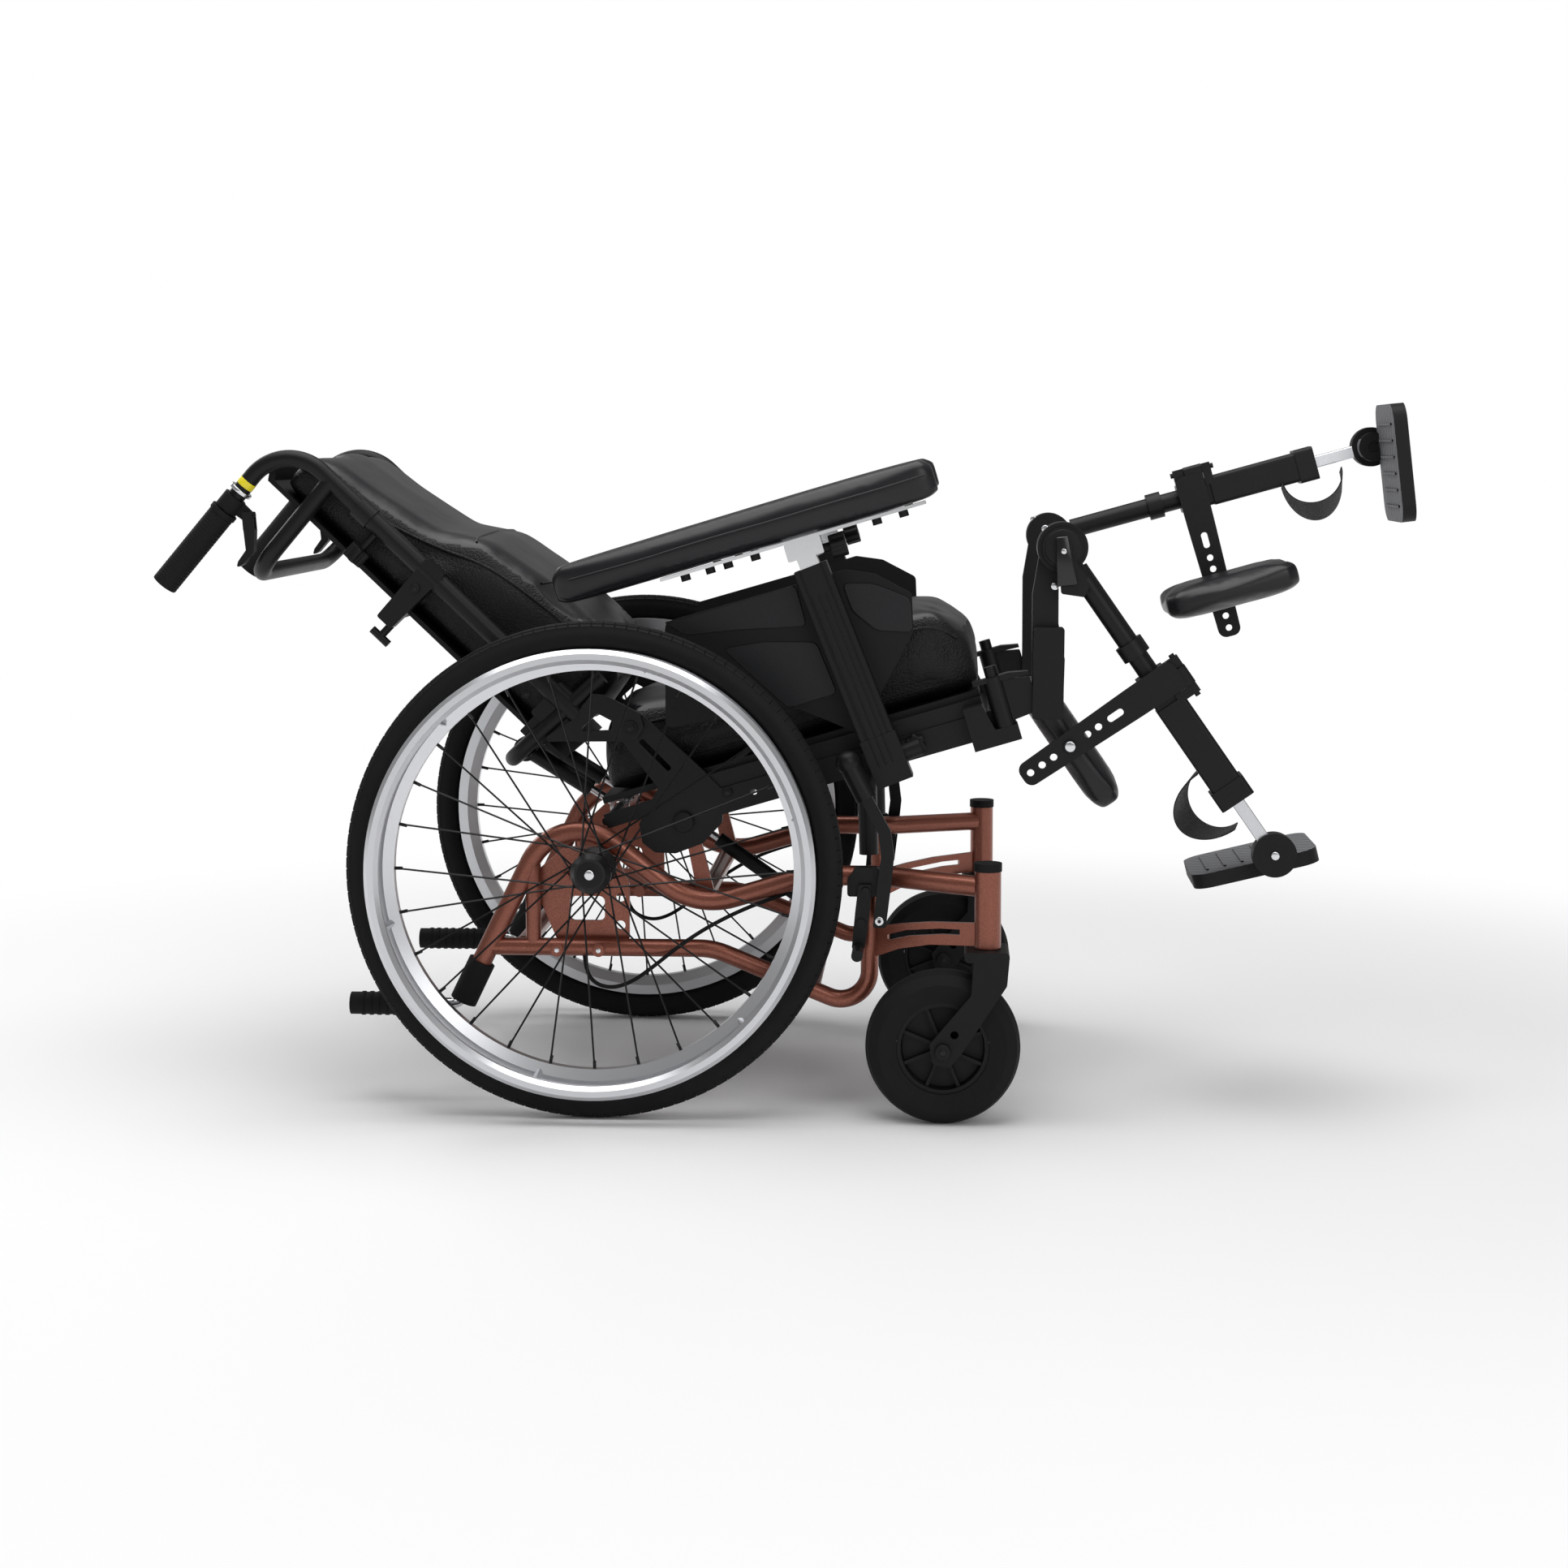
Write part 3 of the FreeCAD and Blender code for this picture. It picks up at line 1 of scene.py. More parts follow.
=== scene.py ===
import math
import bpy
import bmesh
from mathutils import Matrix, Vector


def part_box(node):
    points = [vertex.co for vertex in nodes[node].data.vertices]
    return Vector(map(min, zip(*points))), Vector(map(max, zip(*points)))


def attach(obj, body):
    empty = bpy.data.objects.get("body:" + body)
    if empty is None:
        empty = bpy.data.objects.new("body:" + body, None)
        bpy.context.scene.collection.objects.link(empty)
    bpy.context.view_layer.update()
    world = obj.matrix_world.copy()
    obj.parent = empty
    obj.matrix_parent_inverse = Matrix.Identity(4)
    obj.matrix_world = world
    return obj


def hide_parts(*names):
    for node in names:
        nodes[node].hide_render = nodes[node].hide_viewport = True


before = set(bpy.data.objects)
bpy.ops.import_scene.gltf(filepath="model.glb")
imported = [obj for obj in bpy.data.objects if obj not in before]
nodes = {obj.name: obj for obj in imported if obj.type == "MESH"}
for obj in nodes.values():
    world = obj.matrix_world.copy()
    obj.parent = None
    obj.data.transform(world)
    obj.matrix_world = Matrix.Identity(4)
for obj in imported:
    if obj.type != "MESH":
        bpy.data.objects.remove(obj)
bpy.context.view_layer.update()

# Camera at the photograph's place: 3.5 m to the right of the chair, at 0.82 m, turned 3.4 degrees to the
# rear. The small downward shift stands for the blank paper above the chair.
bpy.ops.object.select_all(action="DESELECT")
bpy.ops.object.camera_add(location=(0.1867, -3.553, 0.8205),
                          rotation=(math.radians(86.5), 0, math.radians(3.43)))
camera = bpy.context.object
camera.data.lens = 62.14
camera.data.sensor_width = 36
camera.data.shift_y = -0.1095
bpy.context.scene.camera = camera


def linear(code):
    # an sRGB hex colour as linear light
    parts = [int(code[i:i + 2], 16) / 255 for i in (1, 3, 5)]
    return tuple(c / 12.92 if c <= 0.04045 else ((c + 0.055) / 1.055) ** 2.4 for c in parts) + (1,)


def add_node(material, kind, values=None, links=None, **settings):
    item = material.node_tree.nodes.new("ShaderNode" + kind)
    for name, value in settings.items():
        setattr(item, name, value)
    for socket, value in (values or {}).items():
        item.inputs[socket].default_value = value
    for socket, source in (links or {}).items():
        material.node_tree.links.new(source, item.inputs[socket])
    return item


def new_material(name):
    material = bpy.data.materials.new(name)
    material.use_nodes = True
    return material, material.node_tree.nodes["Principled BSDF"]


# Floor of white studio paper: it takes the chair's shadow near the wheels and fades to plain white further
# out.
bpy.ops.mesh.primitive_plane_add(size=60, location=(0, 0, -0.0005))
floor = bpy.context.object
floor.name = "studio_paper"
paper, coat = new_material("white_studio_paper")
place = add_node(paper, "TexCoord")
reach = add_node(paper, "VectorMath", links={0: place.outputs["Object"]}, operation="LENGTH")
fade = add_node(paper, "MapRange", {"From Min": 0.9, "From Max": 2.1}, {"Value": reach.outputs["Value"]},
                interpolation_type="SMOOTHSTEP")
coat.inputs["Base Color"].default_value = linear("#F4F4F5")
coat.inputs["Roughness"].default_value = 0.55
glow = add_node(paper, "Emission", {"Color": (1, 1, 1, 1), "Strength": 1.0})
mixed = add_node(paper, "MixShader", links={0: fade.outputs["Result"], 1: coat.outputs["BSDF"],
                                           2: glow.outputs["Emission"]})
paper.node_tree.links.new(mixed.outputs["Shader"], paper.node_tree.nodes["Material Output"].inputs["Surface"])
floor.data.materials.append(paper)

# Studio light: one broad soft box overhead, one towards the camera's side, one behind, and a white surround.
world = bpy.context.scene.world or bpy.data.worlds.new("studio")
bpy.context.scene.world = world
world.use_nodes = True
sky = world.node_tree.nodes["Background"]
sky.inputs["Color"].default_value = (1, 1, 1, 1)
ray = world.node_tree.nodes.new("ShaderNodeLightPath")
level = world.node_tree.nodes.new("ShaderNodeMath")
level.operation = "MULTIPLY_ADD"
level.inputs[1].default_value = 0.7
level.inputs[2].default_value = 0.3
world.node_tree.links.new(ray.outputs["Is Camera Ray"], level.inputs[0])
world.node_tree.links.new(level.outputs["Value"], sky.inputs["Strength"])
for name, place, size, power in (("soft_box_top", (-0.2, -0.3, 3.2), 3.0, 90),
                                 ("soft_box_front", (1.6, -3.0, 1.9), 1.8, 26),
                                 ("soft_box_rear", (-2.2, 1.8, 2.0), 1.6, 22)):
    bpy.ops.object.light_add(type="AREA", location=place)
    lamp = bpy.context.object
    lamp.name = name
    lamp.data.shape = "SQUARE"
    lamp.data.size = size
    lamp.data.energy = power
    aim = Vector((0, 0, 0.45)) - Vector(place)
    lamp.rotation_euler = aim.to_track_quat("-Z", "Y").to_euler()

# Base frame of bent steel tube under pearl copper lacquer: it is metallic, with fine flake and a thin clear
# coat. The flake is 0.3 mm in life and drawn at 0.9 mm so that it shows.
lacquer, coat = new_material("pearl_copper_lacquer")
place = add_node(lacquer, "TexCoord")
flake = add_node(lacquer, "TexNoise", {"Scale": 1100, "Detail": 2}, {"Vector": place.outputs["Object"]})
tint = add_node(lacquer, "ValToRGB", links={"Fac": flake.outputs["Fac"]})
tint.color_ramp.elements[0].position = 0.35
tint.color_ramp.elements[0].color = linear("#784233")
tint.color_ramp.elements[1].position = 0.7
tint.color_ramp.elements[1].color = linear("#9A5D4B")
peel = add_node(lacquer, "TexNoise", {"Scale": 260, "Detail": 1}, {"Vector": place.outputs["Object"]})
bump = add_node(lacquer, "Bump", {"Strength": 0.06, "Distance": 0.001}, {"Height": peel.outputs["Fac"]})
lacquer.node_tree.links.new(tint.outputs["Color"], coat.inputs["Base Color"])
lacquer.node_tree.links.new(bump.outputs["Normal"], coat.inputs["Normal"])
coat.inputs["Metallic"].default_value = 0.75
coat.inputs["Roughness"].default_value = 0.36
coat.inputs["Coat Weight"].default_value = 0.35
coat.inputs["Coat Roughness"].default_value = 0.18


def finish_nodes(material, *names):
    # gives CAD nodes their finished material
    for name in names:
        mesh = nodes[name].data
        mesh.materials.clear()
        mesh.materials.append(material)


finish_nodes(lacquer, "side_frame_right", "side_frame_left", "cross_tubes", "axle_plates")

# Seat links, canes, posts and legrests are steel and aluminium under satin black powder coat.
# Powder coat has a fine orange peel of about 1 mm and a soft, even shine.
powder, coat = new_material("satin_black_powder_coat")
place = add_node(powder, "TexCoord")
peel = add_node(powder, "TexNoise", {"Scale": 900, "Detail": 2}, {"Vector": place.outputs["Object"]})
wear = add_node(powder, "TexNoise", {"Scale": 14, "Detail": 4}, {"Vector": place.outputs["Object"]})
shine = add_node(powder, "MapRange", {"To Min": 0.34, "To Max": 0.5}, {"Value": wear.outputs["Fac"]})
bump = add_node(powder, "Bump", {"Strength": 0.12, "Distance": 0.0006}, {"Height": peel.outputs["Fac"]})
powder.node_tree.links.new(shine.outputs["Result"], coat.inputs["Roughness"])
powder.node_tree.links.new(bump.outputs["Normal"], coat.inputs["Normal"])
coat.inputs["Base Color"].default_value = linear("#0D0D0F")
coat.inputs["Specular IOR Level"].default_value = 0.24
coat.inputs["Metallic"].default_value = 0.0
finish_nodes(powder, "seat_frame", "arm_posts", "back_frame", "push_frame", "tilt_cylinder",
             "recline_cylinders", "brake_mounts")
for side in ("right", "left"):
    finish_nodes(powder, *(name + side for name in ("brake_arm_", "brake_lever_", "hanger_", "leg_tube_",
                                                    "calf_bracket_")))

# Moulded parts are glass-filled nylon: deep black with a fine spark-eroded grain of about 0.5 mm.
nylon, coat = new_material("black_moulded_nylon")
place = add_node(nylon, "TexCoord")
grain = add_node(nylon, "TexNoise", {"Scale": 1600, "Detail": 3}, {"Vector": place.outputs["Object"]})
bump = add_node(nylon, "Bump", {"Strength": 0.22, "Distance": 0.0005}, {"Height": grain.outputs["Fac"]})
nylon.node_tree.links.new(bump.outputs["Normal"], coat.inputs["Normal"])
coat.inputs["Base Color"].default_value = linear("#0C0C0D")
coat.inputs["Specular IOR Level"].default_value = 0.24
coat.inputs["Roughness"].default_value = 0.52
finish_nodes(nylon, "back_shell", "side_panels")
for side in ("right", "left"):
    finish_nodes(nylon, *(name + side for name in ("caster_fork_", "caster_rim_", "hand_lever_", "foot_bar_",
                                                   "footplate_")))

# Rims and handrims are anodised aluminium, polished first and then dulled: bright, with soft reflections.
anodised, coat = new_material("satin_anodised_aluminium")
place = add_node(anodised, "TexCoord")
brush = add_node(anodised, "TexNoise", {"Scale": 700, "Detail": 2}, {"Vector": place.outputs["Object"]})
shine = add_node(anodised, "MapRange", {"To Min": 0.26, "To Max": 0.36}, {"Value": brush.outputs["Fac"]})
anodised.node_tree.links.new(shine.outputs["Result"], coat.inputs["Roughness"])
coat.inputs["Base Color"].default_value = linear("#D3D4D7")
coat.inputs["Metallic"].default_value = 1.0
for side in ("right", "left"):
    finish_nodes(anodised, "rear_rim_" + side, "handrim_" + side)

# Bright parts are steel with polished chrome or zinc: nearly a mirror, with faint drawing lines.
chrome, coat = new_material("polished_chrome_on_steel")
place = add_node(chrome, "TexCoord")
brush = add_node(chrome, "TexNoise", {"Scale": 400, "Detail": 1}, {"Vector": place.outputs["Object"]})
shine = add_node(chrome, "MapRange", {"To Min": 0.1, "To Max": 0.2}, {"Value": brush.outputs["Fac"]})
chrome.node_tree.links.new(shine.outputs["Result"], coat.inputs["Roughness"])
coat.inputs["Base Color"].default_value = linear("#D8D9DB")
coat.inputs["Metallic"].default_value = 1.0
finish_nodes(chrome, "tipping_levers", "tilt_rod", "recline_rods", "arm_slider_right", "arm_slider_left")

# Spokes are black stainless wire, laced to a black hub: half-gloss, so that their edges catch the light.
wire, coat = new_material("black_oxide_wire")
place = add_node(wire, "TexCoord")
drawn = add_node(wire, "TexNoise", {"Scale": 300}, {"Vector": place.outputs["Object"]})
shine = add_node(wire, "MapRange", {"To Min": 0.28, "To Max": 0.4}, {"Value": drawn.outputs["Fac"]})
wire.node_tree.links.new(shine.outputs["Result"], coat.inputs["Roughness"])
coat.inputs["Base Color"].default_value = linear("#0E0E0F")
coat.inputs["Metallic"].default_value = 0.4
finish_nodes(wire, "rear_spokes_right", "rear_spokes_left")

# Tyres are vulcanised rubber: matt black-grey with mould bloom in soft patches.
rubber, coat = new_material("vulcanised_tyre_rubber")
place = add_node(rubber, "TexCoord")
bloom = add_node(rubber, "TexNoise", {"Scale": 22, "Detail": 5}, {"Vector": place.outputs["Object"]})
tint = add_node(rubber, "ValToRGB", links={"Fac": bloom.outputs["Fac"]})
tint.color_ramp.elements[0].color = linear("#0B0B0C")
tint.color_ramp.elements[1].color = linear("#151516")
grain = add_node(rubber, "TexNoise", {"Scale": 1300, "Detail": 2}, {"Vector": place.outputs["Object"]})
bump = add_node(rubber, "Bump", {"Strength": 0.2, "Distance": 0.0005}, {"Height": grain.outputs["Fac"]})
rubber.node_tree.links.new(tint.outputs["Color"], coat.inputs["Base Color"])
rubber.node_tree.links.new(bump.outputs["Normal"], coat.inputs["Normal"])
coat.inputs["Roughness"].default_value = 0.7
coat.inputs["Specular IOR Level"].default_value = 0.2
finish_nodes(rubber, "rubber_parts", "push_grips", "brake_cables", "rear_tyre_right", "rear_tyre_left",
             "caster_tyre_right", "caster_tyre_left", "heel_strap_right", "heel_strap_left", "seat_cushion",
             "back_cushion", "arm_pad_right", "arm_pad_left", "calf_pad_right", "calf_pad_left")

# Seat cushion of moulded foam in a zipped cover: pebbled vinyl round the sides, a smooth stretch top,
# piping between. It starts from the foam's shape, is blown up a little like a stuffed cover, and lies flat
# on the seat board.
pebbled, coat = new_material("pebbled_vinyl_cover")
place = add_node(pebbled, "TexCoord")
pebble = add_node(pebbled, "TexVoronoi", {"Scale": 420}, {"Vector": place.outputs["Object"]}, feature="F1")
# Painted shade: the pebbles' hollows, where the bump sinks, are painted a touch darker and less blue than
# their tops.
pebble_hollow_shade = add_node(pebbled, "ValToRGB", links={"Fac": pebble.outputs["Distance"]})
pebble_hollow_shade.color_ramp.elements[0].color = linear("#0F0F12")
pebble_hollow_shade.color_ramp.elements[1].color = linear("#0E0E0F")
bump = add_node(pebbled, "Bump", {"Strength": 0.55, "Distance": 0.0012},
                {"Height": pebble.outputs["Distance"]}, invert=True)
pebbled.node_tree.links.new(pebble_hollow_shade.outputs["Color"], coat.inputs["Base Color"])
pebbled.node_tree.links.new(bump.outputs["Normal"], coat.inputs["Normal"])
coat.inputs["Roughness"].default_value = 0.46
coat.inputs["Specular IOR Level"].default_value = 0.24
smooth_top, coat = new_material("smooth_stretch_vinyl")
place = add_node(smooth_top, "TexCoord")
pores = add_node(smooth_top, "TexNoise", {"Scale": 900, "Detail": 3}, {"Vector": place.outputs["Object"]})
creases = add_node(smooth_top, "TexNoise", {"Scale": 26, "Detail": 2, "Distortion": 0.6},
                   {"Vector": place.outputs["Object"]})
both = add_node(smooth_top, "Math", {1: 0.25}, {0: pores.outputs["Fac"], 2: creases.outputs["Fac"]},
                operation="MULTIPLY_ADD")
bump = add_node(smooth_top, "Bump", {"Strength": 0.16, "Distance": 0.002}, {"Height": both.outputs["Value"]})
shine = add_node(smooth_top, "MapRange", {"To Min": 0.3, "To Max": 0.42}, {"Value": creases.outputs["Fac"]})
smooth_top.node_tree.links.new(bump.outputs["Normal"], coat.inputs["Normal"])
smooth_top.node_tree.links.new(shine.outputs["Result"], coat.inputs["Roughness"])
coat.inputs["Base Color"].default_value = linear("#101014")
coat.inputs["Specular IOR Level"].default_value = 0.3
coat.inputs["Coat Weight"].default_value = 0.15
coat.inputs["Coat Roughness"].default_value = 0.3


def stuffed(node, name, voxel, shrink, pressure, cap, rounds):
    # a closed cover in the place of a CAD cushion, remeshed, blown up as cloth and then smoothed
    mesh = nodes[node].data.copy()
    mesh.materials.clear()
    piece = bpy.data.objects.new(name, mesh)
    bpy.context.scene.collection.objects.link(piece)
    bpy.ops.object.select_all(action="DESELECT")
    piece.select_set(True)
    bpy.context.view_layer.objects.active = piece
    bpy.ops.object.mode_set(mode="EDIT")
    bpy.ops.mesh.select_all(action="SELECT")
    bpy.ops.mesh.remove_doubles(threshold=0.00005)
    bpy.ops.mesh.normals_make_consistent(inside=False)
    bpy.ops.object.mode_set(mode="OBJECT")
    mesh.remesh_voxel_size = voxel
    bpy.ops.object.voxel_remesh()
    soften = piece.modifiers.new("soften", "SMOOTH")
    soften.factor = 0.6
    soften.iterations = rounds
    bpy.ops.object.modifier_apply(modifier="soften")
    outward = [v.normal.copy() for v in piece.data.vertices]
    start = [v.co - n * shrink for v, n in zip(piece.data.vertices, outward)]
    for vertex, spot in zip(piece.data.vertices, start):
        vertex.co = spot
    cloth = piece.modifiers.new("cloth", "CLOTH")
    cloth.settings.use_pressure = True
    cloth.settings.uniform_pressure_force = pressure
    cloth.settings.effector_weights.gravity = 0
    cloth.settings.tension_stiffness = 12
    cloth.settings.bending_stiffness = 0.6
    cloth.collision_settings.use_collision = False
    for step in range(1, 21):
        bpy.context.scene.frame_set(step)
    blown = piece.evaluated_get(bpy.context.evaluated_depsgraph_get()).data
    moved = [v.co.copy() for v in blown.vertices]
    piece.modifiers.remove(cloth)
    bpy.context.scene.frame_set(1)
    for vertex, spot, end in zip(piece.data.vertices, start, moved):
        way = end - spot
        vertex.co = spot + way * min(1, cap / max(way.length, 1e-6))
    settle = piece.modifiers.new("settle", "SMOOTH")
    settle.factor = 0.5
    settle.iterations = 7
    bpy.ops.object.modifier_apply(modifier="settle")
    piece.data.shade_smooth()
    return piece


def flatten_on(piece, point, normal):
    # what would sink through a board is pressed flat on it
    normal = Vector(normal).normalized()
    gap = 0.0004
    for vertex in piece.data.vertices:
        height = (vertex.co - Vector(point)).dot(normal)
        if height < gap:
            vertex.co += normal * (gap - height)


def piping(piece, name, points, thick, body, material):
    # a welt sewn into the seam: a thin tube that lies on the cover along its edge
    data = bpy.data.curves.new(name, "CURVE")
    data.dimensions = "3D"
    data.bevel_depth = thick / 2
    data.bevel_resolution = 3
    line = data.splines.new("NURBS")
    line.points.add(len(points) - 1)
    for spot, point in zip(line.points, points):
        _, where, normal, _ = piece.closest_point_on_mesh(Vector(point))
        spot.co = (*(where + normal * thick * 0.15), 1)
    line.order_u = 3
    line.use_endpoint_u = True
    welt = bpy.data.objects.new(name, data)
    bpy.context.scene.collection.objects.link(welt)
    bpy.ops.object.select_all(action="DESELECT")
    welt.select_set(True)
    bpy.context.view_layer.objects.active = welt
    bpy.ops.object.convert(target="MESH")
    welt = bpy.context.object
    welt.data.shade_smooth()
    welt.data.materials.append(material)
    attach(welt, body)
    return welt


def two_covers(piece, is_top, side_material, top_material):
    # pebbled sides and a smooth top on one cover
    piece.data.materials.append(side_material)
    piece.data.materials.append(top_material)
    for face in piece.data.polygons:
        face.material_index = 1 if is_top(face) else 0


def seat_spot(along, up, across=0.0):
    # a place on the seat, measured in metres along and above its rail line, which leans 16.5 degrees
    turn = math.radians(16.5)
    return Vector((-0.1013 + along * math.cos(turn) - up * math.sin(turn), across,
                   0.376 + along * math.sin(turn) + up * math.cos(turn)))


seat_up = seat_spot(0, 1) - seat_spot(0, 0)
board_top = 0.044
cushion = stuffed("seat_cushion", "seat_cushion_cover", voxel=0.006, shrink=0.003, pressure=2.0, cap=0.0055,
                  rounds=26)
flatten_on(cushion, seat_spot(0, board_top), seat_up)
two_covers(cushion, lambda face: face.normal.dot(seat_up) > 0.45 and abs(face.normal.y) < 0.72, pebbled,
           smooth_top)
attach(cushion, "seat")
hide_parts("seat_cushion")
for side, s in (("right", -1), ("left", 1)):
    edge = [(-0.10, 0.125), (-0.04, 0.125), (0.03, 0.124), (0.10, 0.126), (0.17, 0.131), (0.24, 0.142),
            (0.29, 0.145), (0.335, 0.138), (0.362, 0.115)]
    piping(cushion, "seat_cushion_piping_" + side, [seat_spot(a, u, s * 0.2) for a, u in edge], 0.0042,
           "seat", pebbled)
    low = [(-0.115, 0.055), (0.0, 0.055), (0.12, 0.055), (0.24, 0.055), (0.35, 0.056)]
    piping(cushion, "seat_cushion_seam_" + side, [seat_spot(a, u, s * 0.2) for a, u in low], 0.0028, "seat",
           pebbled)

# Back cushion: a deep lumbar roll that thins out to the head, in the same two covers, with two seams across
# it. It hooks on the black shell, so its rear face is flat.


def back_spot(along, front, across=0.0):
    # a place on the back, in metres along the canes from the hinge and in front of them
    turn = math.radians(136.5)
    return Vector((-0.2053 + along * math.cos(turn) + front * math.sin(turn), across,
                   0.471 + along * math.sin(turn) - front * math.cos(turn)))


back_front = back_spot(0, 1) - back_spot(0, 0)
shell_face = -0.0887
rest = stuffed("back_cushion", "back_cushion_cover", voxel=0.006, shrink=0.003, pressure=2.0, cap=0.0055,
               rounds=26)
flatten_on(rest, back_spot(0, shell_face), back_front)
two_covers(rest, lambda face: face.normal.dot(back_front) > 0.45 and abs(face.normal.y) < 0.72, pebbled,
           smooth_top)
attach(rest, "back")
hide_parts("back_cushion")
for side, s in (("right", -1), ("left", 1)):
    edge = [(0.07, 0.034), (0.14, 0.042), (0.215, 0.036), (0.28, 0.022), (0.33, -0.002), (0.38, -0.018),
            (0.44, -0.03), (0.50, -0.038), (0.53, -0.05)]
    piping(rest, "back_cushion_piping_" + side, [back_spot(a, f, s * 0.2) for a, f in edge], 0.0042, "back",
           pebbled)
for number, along, depth in ((1, 0.325, 0.06), (2, 0.20, 0.09)):
    across = [back_spot(along, depth, y / 1000) for y in range(-182, 183, 28)]
    piping(rest, "back_cushion_cross_seam_%d" % number, across, 0.003, "back", smooth_top)

# Arm pads: foam on a plywood strip, wrapped in smooth black vinyl with one welt low on the side.
pad_axis = seat_spot(1, 0) - seat_spot(0, 0)
for side, s in (("right", -1), ("left", 1)):
    pad = stuffed("arm_pad_" + side, "arm_pad_cover_" + side, voxel=0.004, shrink=0.0025, pressure=2.0,
                  cap=0.0035, rounds=9)
    low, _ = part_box("arm_pad_" + side)
    pad.data.materials.append(smooth_top)
    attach(pad, "armrest_" + side)
    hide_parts("arm_pad_" + side)
    rear_foot = Vector((low.x + 0.020, 0, low.z + 0.010))
    for face_side, y in (("outer", s * 0.29), ("inner", s * 0.206)):
        line = [rear_foot + pad_axis * (0.012 + 0.046 * k) + seat_up * 0.020 for k in range(11)]
        piping(pad, "arm_pad_welt_%s_%s" % (face_side, side), [Vector((p.x, y, p.z)) for p in line], 0.003,
               "armrest_" + side, smooth_top)

# Calf pads: the same vinyl over foam on a board, with rounded edges.
for side, s in (("right", -1), ("left", 1)):
    pad = stuffed("calf_pad_" + side, "calf_pad_cover_" + side, voxel=0.004, shrink=0.0025, pressure=2.0,
                  cap=0.0035, rounds=9)
    pad.data.materials.append(smooth_top)
    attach(pad, "calf_rest_" + side)
    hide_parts("calf_pad_" + side)

# Rear tyres: 24 x 1 3/8 grey-black treaded tyres. A torus is squared a little at the tread, and the tread
# blocks are cut by insetting the crown's faces one by one.
axle_x = -0.2413
axle_z = 0.305
half_track = 0.295
tyre_radius = 0.3049
crown_from = 0.2955
plain_middle = 0.0035
nipple_reach = 0.2455
spoke_count = 28
for side, s in (("right", -1), ("left", 1)):
    bpy.ops.object.select_all(action="DESELECT")
    bpy.ops.mesh.primitive_torus_add(major_segments=132, minor_segments=20, major_radius=0.2875,
                                     minor_radius=0.0168, rotation=(math.radians(90), 0, 0),
                                     location=(axle_x, s * half_track, axle_z))
    tyre = bpy.context.object
    tyre.name = "rear_tyre_tread_" + side
    bpy.ops.object.transform_apply(location=True, rotation=True, scale=True)
    hub = Vector((axle_x, s * half_track, axle_z))
    bpy.ops.object.mode_set(mode="EDIT")
    shape = bmesh.from_edit_mesh(tyre.data)
    bpy.ops.mesh.select_all(action="DESELECT")
    for face in shape.faces:
        middle = face.calc_center_median() - hub
        reach = math.hypot(middle.x, middle.z)
        face.select_set(reach > crown_from and abs(middle.y) > plain_middle)
    bmesh.update_edit_mesh(tyre.data)
    bpy.ops.mesh.inset(thickness=0.0011, depth=0.0013, use_individual=True)
    bpy.ops.object.mode_set(mode="OBJECT")
    for vertex in tyre.data.vertices:
        away = vertex.co - hub
        reach = math.hypot(away.x, away.z)
        if reach > tyre_radius:
            vertex.co = hub + Vector((away.x * tyre_radius / reach, away.y, away.z * tyre_radius / reach))
    bpy.ops.object.shade_smooth_by_angle(angle=math.radians(38))
    tyre.data.materials.append(rubber)
    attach(tyre, "rear_wheel_" + side)
    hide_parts("rear_tyre_" + side)

# Rear wheel trim: a black hub cap with the bright quick-release button, black nipples where the spokes meet
# the rim, and the valve stem.


def capped_pin(name, start, end, radius, bevel, material, body, sides=24):
    # a bevelled round pin or bolt head between two points
    start, end = Vector(start), Vector(end)
    way = end - start
    bpy.ops.object.select_all(action="DESELECT")
    bpy.ops.mesh.primitive_cylinder_add(vertices=sides, radius=radius, depth=way.length,
                                        location=(start + end) / 2,
                                        rotation=way.to_track_quat("Z", "Y").to_euler())
    pin = bpy.context.object
    pin.name = name
    bpy.ops.object.transform_apply(location=True, rotation=True, scale=True)
    round_edge = pin.modifiers.new("round_edge", "BEVEL")
    round_edge.width = bevel
    round_edge.segments = 3
    round_edge.limit_method = "ANGLE"
    round_edge.angle_limit = math.radians(50)
    bpy.ops.object.modifier_apply(modifier="round_edge")
    bpy.ops.object.shade_smooth_by_angle(angle=math.radians(35))
    pin.data.materials.append(material)
    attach(pin, body)
    return pin


for side, s in (("right", -1), ("left", 1)):
    body = "rear_wheel_" + side
    capped_pin("hub_cap_" + side, (axle_x, s * 0.3265, axle_z), (axle_x, s * 0.3335, axle_z), 0.0175, 0.003,
               nylon, body, 40)
    capped_pin("quick_release_button_" + side, (axle_x, s * 0.333, axle_z), (axle_x, s * 0.3385, axle_z),
               0.0062, 0.0016, chrome, body, 32)
    for number in range(spoke_count):
        turn = 2 * math.pi * number / spoke_count
        ray = Vector((math.cos(turn), 0, math.sin(turn)))
        foot = Vector((axle_x, s * half_track, axle_z)) + ray * nipple_reach
        capped_pin("spoke_nipple_%s_%02d" % (side, number), foot, foot - ray * 0.010, 0.0021, 0.0004, wire,
                   body, 8)
    turn = math.radians(38)
    ray = Vector((math.cos(turn), 0, math.sin(turn)))
    foot = Vector((axle_x, s * half_track, axle_z)) + ray * nipple_reach
    capped_pin("valve_stem_" + side, foot, foot - ray * 0.028, 0.003, 0.0008, rubber, body, 16)

